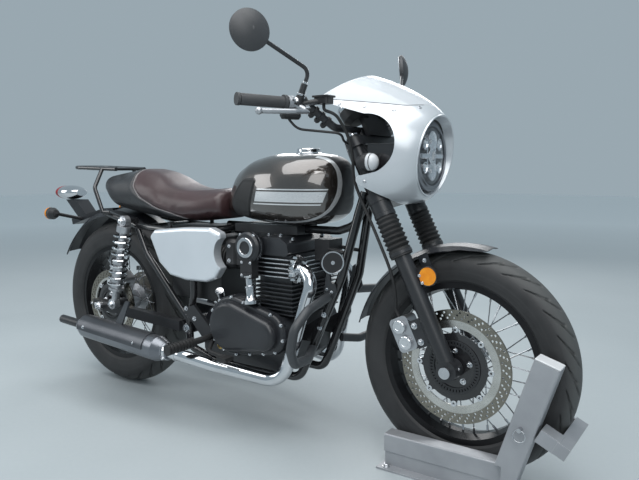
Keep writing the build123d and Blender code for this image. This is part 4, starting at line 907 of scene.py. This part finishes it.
SEAT_STATIONS = [
    # x, half width, floor z, top z
    (-700.0, 84.0, 784.0, 848.0),
    (-640.0, 106.0, 728.0, 855.0),
    (-570.0, 116.0, 712.0, 862.0),
    (-510.0, 122.0, 705.0, 871.0),
    (-450.0, 126.0, 698.0, 866.0),
    (-390.0, 128.0, 692.0, 846.0),
    (-330.0, 129.0, 687.0, 817.0),
    (-270.0, 128.0, 685.0, 801.0),
    (-160.0, 121.0, 690.0, 796.0),
    (-66.0, 102.0, 700.0, 804.0),
]
SEAM = [
    # height up the flank, x where the brown pad ends
    (690.0, -214.0),
    (701.0, -238.0),
    (715.0, -284.0),
    (732.0, -368.0),
    (769.0, -445.0),
    (808.0, -484.0),
    (848.0, -494.0),
    (890.0, -496.0),
]
SEAT_BACK = -707.0
SEAT_FRONT = -62.0
SEAM_CREST_X = -494.0
STITCH_AWAY = 9.0


def seat_rings():
    """Half rings of the seat, drawn in at both ends and narrowed over the hump."""
    xs = np.concatenate([[-706], np.linspace(-702, -68, 120), [-63]])
    turns = np.linspace(-90, 90, 31)
    rings = []
    for x in xs:
        clip = min(x - SEAT_BACK, SEAT_FRONT - x)
        inset = 1 - max(0.0, 1 - clip / 22) ** 2
        half = eased(SEAT_STATIONS, 1, x) * (0.86 + 0.14 * inset)
        low = eased(SEAT_STATIONS, 2, x) + 4
        high = eased(SEAT_STATIONS, 3, x) - 6 * (1 - inset) - 2
        middle = low + 0.45 * (high - low)
        ring = []
        for turn in np.radians(turns):
            rise = sin(turn)
            y = half * max(cos(turn), 0.0) ** 0.5
            z = middle + (high - middle if rise > 0 else middle - low) * np.sign(rise) * abs(rise) ** 0.9
            y = y * (1 - 0.1 * float(smoothstep(795, 850, z)))
            ring.append(Vector((x, y, z)))
        rings.append(ring)
    return rings


def from_seam(points):
    """Signed distance ahead of the seam between the black cover and the brown pad."""
    heights = np.array(column_of(SEAM, 0))
    places = np.array(column_of(SEAM, 1))
    at = np.interp(points[:, 2], heights, places)
    slope = np.interp(points[:, 2], heights, np.gradient(places, heights))
    return (points[:, 0] - at) / np.sqrt(1 + slope**2)


def coords_of(mesh):
    flat = np.zeros(len(mesh.vertices) * 3)
    mesh.vertices.foreach_get("co", flat)
    return flat.reshape(-1, 3)


def puffed(piece, voxel, pressure, most):
    """Remeshes a pad and swells it with cloth pressure, no point moving further than most."""
    bpy.context.view_layer.objects.active = piece
    piece.data.remesh_voxel_size = voxel * MM
    bpy.ops.object.voxel_remesh()
    start = coords_of(piece.data)
    cloth = piece.modifiers.new("puff", "CLOTH")
    cloth.settings.use_pressure = True
    cloth.settings.uniform_pressure_force = pressure
    cloth.settings.effector_weights.gravity = 0.0
    cloth.settings.tension_stiffness = 30
    cloth.settings.compression_stiffness = 30
    for step in range(1, 13):
        bpy.context.scene.frame_set(step)
    graph = bpy.context.evaluated_depsgraph_get()
    swollen = coords_of(piece.evaluated_get(graph).data)
    piece.modifiers.remove(cloth)
    bpy.context.scene.frame_set(1)
    move = swollen - start
    size = np.linalg.norm(move, axis=1, keepdims=True)
    start = start + move * np.minimum(1.0, most * MM / np.maximum(size, 1e-9))
    piece.data.vertices.foreach_set("co", start.ravel())
    smooth = piece.modifiers.new("smooth", "SUBSURF")
    smooth.levels = 1
    smooth.render_levels = 1
    graph = bpy.context.evaluated_depsgraph_get()
    mesh = bpy.data.meshes.new_from_object(piece.evaluated_get(graph))
    piece.modifiers.clear()
    piece.data = mesh
    return piece


def build_seat():
    """Swollen cover with a channel along its seam, black behind it and brown ahead."""
    points, faces = capped_shell(seat_rings())
    seat = puffed(mesh_piece("seat_cover", points, faces, LEATHER_BLACK, 80), 6, 3.0, 5)
    mesh = seat.data
    co = coords_of(mesh) / MM
    away = from_seam(co)
    normals = np.zeros(len(mesh.vertices) * 3)
    mesh.vertices.foreach_get("normal", normals)
    normals = normals.reshape(-1, 3)
    channel = 2.6 * np.exp(-((away / 5.0) ** 2)) - 1.2 * np.exp(-(((np.abs(away) - 14) / 9) ** 2))
    co = co - normals * channel[:, None]
    mesh.vertices.foreach_set("co", (co * MM).ravel())
    mesh.materials.append(LEATHER_BROWN)
    centres = np.zeros(len(mesh.polygons) * 3)
    mesh.polygons.foreach_get("center", centres)
    ahead = from_seam(centres.reshape(-1, 3) / MM) > 0
    mesh.polygons.foreach_set("material_index", ahead.astype(np.int32))
    mesh.polygons.foreach_set("use_smooth", np.ones(len(mesh.polygons), bool))
    mesh.update()
    fit(seat, "main_frame", "seat_cover", "seat")
    seat_seams(mesh)


def seat_seams(mesh):
    """Piping along the seam and a row of stitches each side of it."""
    tree = skin_of(mesh)
    flank = []
    for z in np.linspace(696, 846, 40):
        x = float(np.interp(z, column_of(SEAM, 0), column_of(SEAM, 1)))
        flank.append(((x, -300, z), (0, 1, 0)))
    over = [((SEAM_CREST_X, y, 1000), (0, 0, -1)) for y in np.linspace(-96, 96, 33)]
    left = [((start[0], 300, start[2]), (0, -1, 0)) for start, _ in reversed(flank)]

    def on_skin(rays, shift):
        found = []
        for start, course in rays:
            origin = Vector(start) + Vector((shift, 0, 0))
            spot, out, _, _ = tree.ray_cast(origin * MM, Vector(course))
            if spot:
                found.append((spot / MM, out))
        return found

    seam = [spot + out * 0.6 for spot, out in on_skin(flank + over + left, 0.0)]
    fit(line_piece("seat_seam_piping", seam, 2.0, PIPING), "main_frame", "seat_cover")
    stitches = Solids()
    for shift in (STITCH_AWAY, -STITCH_AWAY):
        row = on_skin(flank + over + left, shift)
        for (a, out), (b, _) in zip(row, row[1:]):
            if (b - a).length < 14:
                stitches.rod(a + out * 0.3, a + (b - a) * 0.6 + out * 0.3, 0.55, 5)
    fit(stitches.piece("seat_stitches", PIPING), "main_frame", "seat_cover")


# Lamps, screen and bars

LAMP = (685.0, 0.0, 905.0)
LAMP_CHAMBERS = [
    # across, up, radius
    (0.0, 42.0, 27.0),
    (0.0, -42.0, 27.0),
    (-46.0, 33.0, 15.0),
    (46.0, 33.0, 15.0),
    (-46.0, -33.0, 15.0),
    (46.0, -33.0, 15.0),
]
BEZEL = [(84, -18), (84, -8), (86, -5.5), (89.5, -5.5), (92, -9.5), (96, -9.5), (100, -12), (100.6, -20)]
BOWL = [(0, -19.4), (30, -18.8), (60, -17), (74, -14), (81, -10), (83.6, -9.5)]
DOME = [(83.6, -10.6), (72, -7), (60, -4), (45, -1.6), (30, 0), (15, 0.8), (0, 1)]
SCREW = [(0, -2), (5.4, -2), (5.4, 0.8), (4.2, 2.2), (2, 2.4), (1.6, 1.4), (0, 1.4)]
SIGNAL_LENS = [(24.4, 4), (24.4, 12), (23, 19), (18.5, 26), (10, 31), (0, 32.5)]
SCREEN_SCREWS = [(469.5, 1050.3), (543.4, 1040.7), (618.5, 1028.7), (668.0, 1036.0)]
SCREEN_FOOT = [(396.0, 1070.5), (640.0, 1042.0), (676.0, 1046.2)]
EAR_BOLT = (554.7, 834.7)
SIGNAL_HEAD = (560.0, 166.0, 888.0)
BAR_KNEE = (452.0, 165.0, 985.0)
BAR_BEND = (408.0, 235.0, 1047.0)
BAR_END = (319.0, 416.0, 1052.0)
MIRROR_HEAD = (364.0, 420.0, 1222.0)
MIRROR_ELBOW = (436.0, 264.0, 1132.0)
RESERVOIR_LID = (450.0, -216.0, 1065.5)
CLIP_SHARES = (0.28, 0.5, 0.72)


def on_flank(tree, x, z, side):
    """Outer point and normal of a node's side at a side-view place."""
    spot, out, _, _ = tree.ray_cast(Vector((x, side * 600, z)) * MM, Vector((0, -side, 0)))
    return spot / MM, out


def build_lamp():
    """Stepped grey ring, chrome chambers and cross bar, lit dots and a clear dome."""
    place = aimed(LAMP, (1, 0, 0))
    bezel = Solids()
    bezel.turned(BEZEL, place, 96)
    fit(bezel.piece("lamp_bezel", SILENCER), "front_end", "satin_silver")
    bowl = Solids()
    bowl.turned(BOWL, place, 72)
    fit(bowl.piece("lamp_bowl", HEAT_SHIELD), "front_end", "satin_silver")
    bright = Solids()
    for across, up, radius in LAMP_CHAMBERS:
        cup = [(0, -17), (radius * 0.5, -15.5), (radius * 0.86, -12)]
        lip = [(radius, -8), (radius + 2, -8), (radius + 3, -18)]
        bright.turned(cup + lip, place @ moved(across, up, 0), 10)
    bright.block((150, 15, 6), place @ moved(0, 0, -11), 2)
    for across in (-26, 26):
        bright.block((5, 62, 5), place @ moved(across, 0, -13), 1.5)
    bright.turned([(12, -6), (14, -4.5), (18, -5.5), (23, -9), (23, -18)], place, 40)
    fit(bright.piece("lamp_reflector", CHROME, 20), "front_end", "chrome")
    dots = Solids()
    dots.turned([(12, -7), (8, -3.6), (0, -2.6)], place, 24)
    for across, up, radius in LAMP_CHAMBERS:
        spot = place @ moved(across, up, 0)
        dots.turned([(radius * 0.26, -16), (radius * 0.22, -12.5), (0, -11.5)], spot, 16)
    fit(dots.piece("lamp_dots", LAMP_WHITE), "front_end", "lens_clear")
    dome = Solids()
    inner = [(radius * 0.985, height - 1.4) for radius, height in reversed(DOME)]
    dome.turned(DOME + inner, place, 72)
    fit(dome.piece("lamp_dome", CLEAR), "front_end", "lens_clear", "headlamp_lens")


def build_cowl():
    """Screws and seam along the screen's foot, ear bolts, the cuts' ledges and the signals' lenses."""
    skin = skin_of(nodes["fairing"].data)
    screws = Solids()
    ledge = Solids()
    lens = Solids()
    rings = Solids()
    for side, label in SIDES:
        for x, z in SCREEN_SCREWS + [EAR_BOLT]:
            screws.turned(SCREW, aimed(*on_flank(skin, x, z, side)), 16)
        seam = []
        for x in np.linspace(SCREEN_FOOT[0][0] + 6, SCREEN_FOOT[-1][0] - 6, 60):
            z = np.interp(x, column_of(SCREEN_FOOT, 0), column_of(SCREEN_FOOT, 1))
            seam.append(on_flank(skin, x, z - 0.8, side)[0])
        fit(line_piece(f"screen_seam_{label}", seam, 0.8, GUARD), "front_end", "black_plastic")
        ledge.block((94, 6, 1.8), moved(587, side * 130.5, 938.8), 0.6)
        place = aimed(mirrored(SIGNAL_HEAD, side), (1, 0, 0))
        lens.turned(SIGNAL_LENS, place, 40)
        rings.turned([(24.2, 0), (25.8, 0.6), (25.8, 5), (24.2, 5.6)], place, 40)
    fit(screws.piece("cowl_screws", STEEL), "front_end", "chrome")
    fit(ledge.piece("cowl_ledge", GUARD), "front_end", "black_plastic")
    fit(lens.piece("signal_lenses", LAMP_WHITE), "front_end", "lens_clear")
    fit(rings.piece("signal_rings", PLASTIC), "front_end", "black_plastic")


def build_bars():
    """Switch pods, cable clips, mirror glass, stems' collars, lever pivots and the reservoir's screws."""
    pods = Solids()
    buttons = Solids()
    glass = Solids()
    collars = Solids()
    for side in (-1, 1):
        bend = mirrored(BAR_BEND, side)
        run = mirrored(BAR_END, side) - bend
        pod = aimed(bend + run * 0.1, run, (1, 0, 0))
        pods.block((44, 38, 32), pod, 7)
        pods.block((30, 16, 24), pod @ moved(-20, 0, 0), 4)
        pods.rod(bend + run * 0.315, bend + run * 0.345, 20, 24)
        below = aimed(bend + run * 0.27 + Vector((2, 0, -33)), run, (1, 0, 0))
        pods.block((26, 22, 58), below, 6)
        pods.rod(bend + run * 0.12 + Vector((0, 0, -14)), bend + run * 0.3 + Vector((2, 0, -34)), 9, 20)
        root = mirrored(BAR_KNEE, side)
        for share in CLIP_SHARES:
            spot = bend.lerp(root, share)
            clip = aimed(spot, root - bend)
            pods.turned([(11.2, -5), (14.5, -4), (14.5, 4), (11.2, 5)], clip, 28)
            pods.block((13, 20, 16), clip @ moved(0, 14 * side, 0), 3)
            collars.bolt(clip @ Vector((0, 24 * side, 0)), clip.to_3x3() @ Vector((0, side, 0)), 3.4, 4)
        buttons.block((12, 5, 16), pod @ moved(-6, side * 19, 0), 2)
        head = mirrored(MIRROR_HEAD, side)
        glass.turned([(0, -14.5), (48, -14.5), (49.6, -14)], aimed(head, (1, side * 0.5, 0.1)), 64)
        foot = bend + run * 0.2 + Vector((24, side * 4, 17.3))
        stem = aimed(foot, mirrored(MIRROR_ELBOW, side) - foot)
        collars.turned([(9.2, 0), (11, 1), (11, 6), (9.2, 7)], stem, 6)
        collars.turned([(6, 33), (7.2, 34), (7.2, 39), (5.6, 40)], stem, 20)
        pivot = bend + run * 0.2 + Vector((44, 0, -24))
        collars.bolt(pivot + Vector((0, 0, 8)), (0, 0, 1), 6, 7)
        perch = bend + run * 0.24 + Vector((20, 0, 6))
        collars.block((20, 30, 14), aimed(perch, (0, 0, 1), (1, 0, 0)), 4)
        banjo = bend + run * 0.16 + Vector((22, 0, 10))
        collars.rod(banjo, banjo + Vector((0, side * -4, 20)), 5, 16)
    fit(pods.piece("switch_pods", PLASTIC), "front_end", "black_plastic")
    fit(buttons.piece("switch_buttons", RED), "front_end", "lens_red")
    fit(glass.piece("mirror_glass", MIRROR), "front_end", "chrome")
    fit(collars.piece("bar_fastenings", CHROME), "front_end", "chrome")
    lid = Solids()
    for dx, dy in ((-18, -14), (18, 14)):
        spot = aimed(Vector(RESERVOIR_LID) + Vector((dx, dy, 0)), (0, 0, 1))
        lid.turned([(0, 3), (3.4, 3), (3.4, 4.4), (0, 4.4)], spot, 12)
    fit(lid.piece("reservoir_screws", STEEL), "front_end", "chrome")


TICK_START = 225
TICK_SWEEP = 270
TICK_GAPS = 24


def build_gauges():
    """Bezel, dark face, ticks and needle on each of the two dials."""
    bezels = Solids()
    faces = Solids()
    ticks = Solids()
    for side in (-1, 1):
        base = FORK @ Vector((16, side * 52, 736))
        place = aimed(base, (-0.55, 0, 0.83))
        bezels.turned([(44.3, 62), (45, 70), (44, 75.5), (40.5, 76), (39.5, 74.4)], place, 48)
        faces.turned([(39.8, 74.2), (0, 74.3)], place, 48)
        for index in range(TICK_GAPS + 1):
            turn = radians(TICK_START - index * TICK_SWEEP / TICK_GAPS) - pi / 2
            size = (7, 1.6, 0.4) if index % 4 == 0 else (4, 0.9, 0.4)
            at = place @ Matrix.Rotation(turn, 4, "Z") @ moved(33, 0, 74.7)
            ticks.block(size, at, 0.1)
        hand = place @ Matrix.Rotation(radians(TICK_START) - pi / 2, 4, "Z") @ moved(12, 0, 75.2)
        ticks.block((30, 1.8, 0.6), hand, 0.2)
        ticks.turned([(5, 74.6), (5, 76), (0, 76.4)], place, 20)
    fit(bezels.piece("gauge_bezels", CHROME), "front_end", "chrome")
    fit(faces.piece("gauge_faces", DIAL), "front_end", "black_plastic")
    fit(ticks.piece("gauge_ticks", MARK), "front_end", "satin_silver")


LEG_CAP = [(0, 706.4), (15, 706.4), (17, 708), (17, 713), (15, 715), (6, 715), (6, 711), (0, 711)]


def build_fork():
    """Reflector rims, caliper bolts, clamp bands and the fender's bolts."""
    rims = Solids()
    bolts = Solids()
    bands = Solids()
    for side in (-1, 1):
        spot = FORK @ Vector((52, side * 113.3, BRACKET_S))
        rims.turned(
            [(25, -9), (27.6, -9), (27.6, 0.4), (25.6, 0.8), (24.6, -0.4)], aimed(spot, (0, side, 0)), 48
        )
        for rise in (BRACKET_S - 11, BRACKET_S + 11):
            bolts.bolt(FORK @ Vector((30, side * 113.0, rise)), (0, side, 0), 3.6, 4)
        for rise in (BRACKET_S + 4, BRACKET_S + 46):
            bolts.bolt(FORK @ Vector((42, side * 73, rise)), (0, side, 0), 5, 5)
        leg = FORK @ moved(0, side * 105, 0)
        bands.turned([(32.2, 340), (33.4, 341), (33.4, 349), (32.2, 350)], leg, 48)
        bands.turned([(30.2, 456), (31.2, 457), (31.2, 466), (30.2, 467)], leg, 48)
        bolts.turned(LEG_CAP, leg, 24)
        bolts.bolt(FORK @ Vector((30, side * 96, 513)), (1, 0, 0), 5, 6)
        bolts.bolt(FORK @ Vector((24, side * 105, -4)), (1, 0, 0), 5, 6)
    for rise in (96, 144):
        bolts.bolt(FORK @ Vector((-44, -113, rise)), (0, -1, 0), 7, 9)
    for rise in (108, 156):
        cap = aimed(FORK @ Vector((-96.4, -110, rise)), (0, -1, 0))
        bolts.turned([(19, 0), (17, 1.4), (10, 1.4), (9, 0.4), (0, 0.4)], cap, 32)
    fit(rims.piece("reflector_rims", PLASTIC), "front_end", "black_plastic")
    fit(bolts.piece("fork_bolts", CHROME), "front_end", "chrome")
    fit(bands.piece("gaiter_bands", SATIN_BLACK), "front_end", "black_paint")


# Engine

COVER_BOLTS = [
    # x, z on the clutch cover's rim
    (44, 452), (-8, 436), (-41, 398), (-50, 348), (-34, 300), (6, 272), (62, 264),
    (120, 274), (178, 284), (226, 296), (256, 338), (250, 386), (208, 414), (96, 440),
]
HEAD_FINS = 5
HEAD_FIN_Z = 532
HEAD_FIN_PITCH = 14
TOWER_FOOT = Vector((130, -160, 440))
TOWER_TOP = Vector((116, -158, 560))
TOWER_OUTLINE = [
    (25.4, 2), (25.4, 12.2), (22, 15), (17.4, 20.2), (15.4, 30), (15.4, 51.6),
    (17.4, 52.6), (17.4, 58.4), (12.9, 60.4), (12.9, 83.6), (17.4, 86), (20.3, 92),
]
BEVEL_CAP_RING = [(33.4, 31.2), (32.6, 36), (31, 37.5), (22, 37.5), (20.6, 36), (20.6, 33.4)]
FILLER_FOOT = (-52, -112, 440)


def build_engine():
    """Bright fin edges, tower, cap ring, bolts, filler, sight glass, boot rings and horn."""
    edges = Solids()
    for index in range(HEAD_FINS):
        z = HEAD_FIN_Z + index * HEAD_FIN_PITCH
        for side in (-1, 1):
            edges.block((148, 1.0, 3.4), moved(187, side * 136.2, z), 0.3)
        edges.block((1.0, 270, 3.4), moved(262.2, 0, z), 0.3)
    fit(edges.piece("head_fin_edges", STEEL), "main_frame", "chrome")
    bright = Solids()
    bright.turned(TOWER_OUTLINE, aimed(TOWER_FOOT, TOWER_TOP - TOWER_FOOT), 40)
    cap = aimed((113, -136.3, 621), (0, -1, 0))
    bright.turned(BEVEL_CAP_RING, cap, 64)
    bright.turned([(50.3, 9), (50.8, 10), (50.8, 12), (50.3, 13)], cap, 64)
    fit(bright.piece("bevel_tower", CHROME), "main_frame", "chrome")
    ears = Solids()
    heads = Solids()
    for x, z in COVER_BOLTS:
        ears.rod((x, -148, z), (x, -163, z), 8.5, 16)
        heads.bolt((x, -163, z), (0, -1, 0), 4.4, 5)
    for x, z in ((86, 660), (140, 660)):
        heads.bolt((x, -160, z), (0, -1, 0), 4.5, 5)
    for x, z in ((98, 532), (134, 532), (98, 574), (134, 574)):
        heads.bolt((x, -170, z), (0, -1, 0), 3.6, 4)
    for x in (142, 190, 238):
        for y in (-84, 84):
            heads.bolt((x, y, 654.6 if x < 230 else 645), (0, 0, 1), 6, 8)
    heads.rod(FILLER_FOOT, (-46, -124, 458), 15, 20)
    fit(heads.piece("engine_bolts", CHROME), "main_frame", "chrome")
    ears.rod((-66, -92, 398), FILLER_FOOT, 12, 20)
    fit(ears.piece("engine_ears", ENGINE), "main_frame", "engine_black")
    glass = Solids()
    sight = aimed((-62, -105.4, 262), (0, -1, 0))
    glass.turned([(13.5, 0), (13.5, 4), (10, 5), (9.6, 2.4), (0, 2.4)], sight, 32)
    fit(glass.piece("sight_glass", BRASS), "main_frame", "lens_amber")
    boots = Solids()
    for side in (-1, 1):
        for x in (-60, -48, -36):
            ring = aimed((x, side * 78, 570), (1, 0, 0))
            boots.turned([(30, 0), (40, 1), (42, 3.5), (42, 6.5), (40, 9), (30, 10)], ring, 40)
        boots.block((52, 40, 92), moved(12, side * 112, 592), 10)
        boots.block((26, 18, 60), moved(46, side * 118, 580), 6)
    fit(boots.piece("intake_boots", PLASTIC), "main_frame", "black_plastic")
    studs = Solids()
    for side in (-1, 1):
        for z in (568, 616):
            studs.bolt((10, side * 132, z), (0, side, 0), 5, 5)
    fit(studs.piece("intake_bolts", STEEL), "main_frame", "chrome")
    horn = aimed((406, -112, 592), (1, -1, 0))
    ring = Solids()
    ring.turned([(33, 16), (34.4, 16), (34.4, 18.4), (31, 18.4), (30, 17.2)], horn, 48)
    ring.turned([(6, 17.2), (6, 19), (0, 19)], horn, 20)
    fit(ring.piece("horn_ring", STEEL), "main_frame", "chrome")


def build_exhaust():
    """Shield bolts, front clamps and weld rings on the silencers."""
    bolts = Solids()
    bands = Solids()
    for side in (-1, 1):
        start = mirrored(MUFFLER_START, side)
        course = mirrored(MUFFLER_RUN, -side)
        out = Vector((0, side, 0.28)).normalized()
        for height in (112, 392):
            bolts.bolt(start + course * height + out * 45, out, 5, 5)
        place = aimed(start, course)
        bands.turned([(27.4, -24), (30, -23), (30, -9), (32.6, -8)], place, 48)
        bands.turned([(21.3, -64), (23, -63), (23, -55), (21.3, -54)], place, 40)
        bolts.bolt(start + course * -16 + Vector((0, side * 26, -16)), (0, 0, -1), 5, 7)
    fit(bolts.piece("silencer_bolts", CHROME), "main_frame", "chrome")
    fit(bands.piece("silencer_bands", CHROME), "main_frame", "chrome")


GUARD_PLATE = [(352, 468), (364, 552), (374, 560), (380, 524), (396, 516), (402, 492), (388, 470)]
REAR_NUT = (-680.0, 332.6)


def build_chassis():
    """Guard brackets, shock nuts, footrest and axle bolts and the rear signals' lenses."""
    bolts = Solids()
    plates = Solids()
    lens = Solids()
    for side in (-1, 1):
        points = [(x, side * y, z) for y in (74, 79) for x, z in GUARD_PLATE]
        count = len(GUARD_PLATE)
        faces = [tuple(range(count)), tuple(range(count, 2 * count))]
        faces += [(i, (i + 1) % count, count + (i + 1) % count, count + i) for i in range(count)]
        plates.add(points, faces)
        for x, z in ((350, 416), (334, 372)):
            bolts.bolt((x, side * 71.4, z), (0, side, 0), 7, 8)
        for x, z in ((366, 500), (384, 492)):
            bolts.bolt((x, side * 79, z), (0, side, 0), 4, 5)
        for x, y, z in ((-485, 176, 680), (-567, 172, 358)):
            spot = aimed((x, side * y, z), (0, side, 0))
            bolts.turned([(15, -4), (15, 1), (11, 1.4), (11, 7), (8, 11), (0, 12.5)], spot, 24)
        for x, z in ((-186, 384), (-146, 352)):
            bolts.bolt((x, side * 146, z), (0, side, 0), 6, 7)
        bolts.bolt((-200, side * 134, 308), (0, side, 0), 12, 10)
        x, z = REAR_NUT
        bolts.bolt((x, side * 150, z), (0, side, 0), 12, 9)
        for ahead in (-40, -62):
            bolts.bolt((x + ahead, side * 133.2, z - ahead * 0.05), (0, side, 0), 4, 4)
        place = aimed((-912, side * 182, 694), (-1, 0, 0))
        lens.turned([(24.4, 7), (24.4, 15.8), (22, 19.6), (15, 23.2), (0, 25.2)], place, 40)
    fit(plates.piece("guard_plates", GUARD), "main_frame", "black_paint")
    fit(bolts.piece("chassis_bolts", CHROME), "main_frame", "chrome")
    fit(lens.piece("rear_signal_lenses", AMBER), "main_frame", "lens_amber")


CROSS_BAR_TURN_DEG = -25.7
CROSS_BAR_AWAY = 17.5
POST_LEAN_DEG = 17.5
PIN_RING_R = 16.0
PIN_RING_POINTS = 20


def build_chock():
    """End cap, locking pin with its ring, floor bolts and weld beads."""
    turn = radians(CROSS_BAR_TURN_DEG)
    reach = FRONT_R + CROSS_BAR_AWAY
    bar = FRONT_AXLE + Vector((reach * cos(turn), 0, reach * sin(turn)))
    lean = radians(POST_LEAN_DEG)
    post = aimed((bar.x - 143.9, -100, bar.z - 119.1), (sin(lean), 0, cos(lean)), (0, 1, 0))
    caps = Solids()
    caps.block((50, 66, 5), post @ moved(0, 0, 346.6), 1.5)
    fit(caps.piece("chock_caps", CHOCK_CAP), "front_end", "chock_grey")
    steel = Solids()
    pin = post @ Vector((-25.2, 4, 160))
    steel.rod(pin + Vector((0, 6, 0)), pin + Vector((0, -16, 0)), 6, 20)
    for x in (600, 890):
        for y in (-118, 118):
            steel.bolt((x, y, 6), (0, 0, 1), 8, 8)
    fit(steel.piece("chock_fastenings", STEEL), "front_end", "chrome")
    loop = []
    for across, up in ring_of(PIN_RING_R, PIN_RING_POINTS):
        loop.append(pin + Vector((across, -13, up - 15)))
    fit(line_piece("chock_pin_ring", loop, 1.6, STEEL, closed=True), "front_end", "chrome")
    beads = []
    for x in np.linspace(592, 932, 90):
        beads.append((x, -61.5, 6.8 + 0.7 * sin(x * 1.1)))
    fit(line_piece("chock_weld", beads, 2.2, CHOCK), "front_end", "chock_grey")


# Stage

FLOOR_HALF = 20000.0
WORLD_TONE = (0.5, 0.61, 0.68, 1.0)
WORLD_STRENGTH = 0.64
LIGHTS = [
    # name, place, aim and size in metres, watts
    ("overhead", (0.3, -0.9, 3.3), (0.1, -0.2, 0.4), (3.8, 3.2), 118),
    ("key", (2.6, -2.6, 2.5), (0.2, 0, 0.6), (2.4, 2.2), 40),
    ("side", (-2.9, -2.2, 1.9), (-0.3, 0, 0.5), (1.2, 2.0), 24),
    ("rim", (-1.2, 3.0, 2.4), (0, 0, 0.6), (2.4, 1.4), 45),
]


def add_camera():
    azimuth = radians(CAMERA_AZIMUTH)
    elevation = radians(CAMERA_ELEVATION)
    roll = radians(CAMERA_ROLL)
    back = Vector((sin(azimuth) * cos(elevation), -cos(azimuth) * cos(elevation), sin(elevation)))
    right = Vector((cos(azimuth), sin(azimuth), 0))
    up = back.cross(right)
    right, up = right * cos(roll) + up * sin(roll), up * cos(roll) - right * sin(roll)
    data = bpy.data.cameras.new("camera")
    data.lens = CAMERA_LENS
    data.sensor_width = 36.0
    data.clip_end = 100
    camera = bpy.data.objects.new("camera", data)
    turn = Matrix((right, up, back)).transposed().to_4x4()
    camera.matrix_world = Matrix.Translation(Vector(CAMERA_PLACE) * MM) @ turn
    bpy.context.scene.collection.objects.link(camera)
    bpy.context.scene.camera = camera


def add_light(name, place, aim, size, power):
    data = bpy.data.lights.new(name, "AREA")
    data.shape = "RECTANGLE"
    data.size, data.size_y = size
    data.energy = power
    light = bpy.data.objects.new(name, data)
    light.matrix_world = aimed(place, Vector(place) - Vector(aim), (1, 0, 0))
    bpy.context.scene.collection.objects.link(light)


def build_stage():
    floor_finish = surface(
        "floor_grey", ((0.39, 0.43, 0.445), (0.41, 0.45, 0.465)), (0.5, 0.65), 60, 0.04, 1.5
    )
    tone_beyond(floor_finish, 2.2, 9.0, (0.93, 0.96, 0.97))
    corners = [(FLOOR_HALF * x, FLOOR_HALF * y, 0) for x, y in ((-1, -1), (1, -1), (1, 1), (-1, 1))]
    floor = mesh_piece("floor", corners, [(0, 1, 2, 3)], floor_finish)
    world = bpy.data.worlds.new("studio")
    bpy.context.scene.world = world
    world.use_nodes = True
    background = world.node_tree.nodes["Background"]
    background.inputs["Color"].default_value = WORLD_TONE
    background.inputs["Strength"].default_value = WORLD_STRENGTH
    for light in LIGHTS:
        add_light(*light)
    bpy.context.scene.view_settings.view_transform = "Standard"


finish_nodes()
second_finishes()
build_wheels()
build_tank()
build_knee_pads()
build_seat()
build_lamp()
build_cowl()
build_bars()
build_gauges()
build_fork()
build_engine()
build_exhaust()
build_chassis()
build_chock()
build_stage()
add_camera()
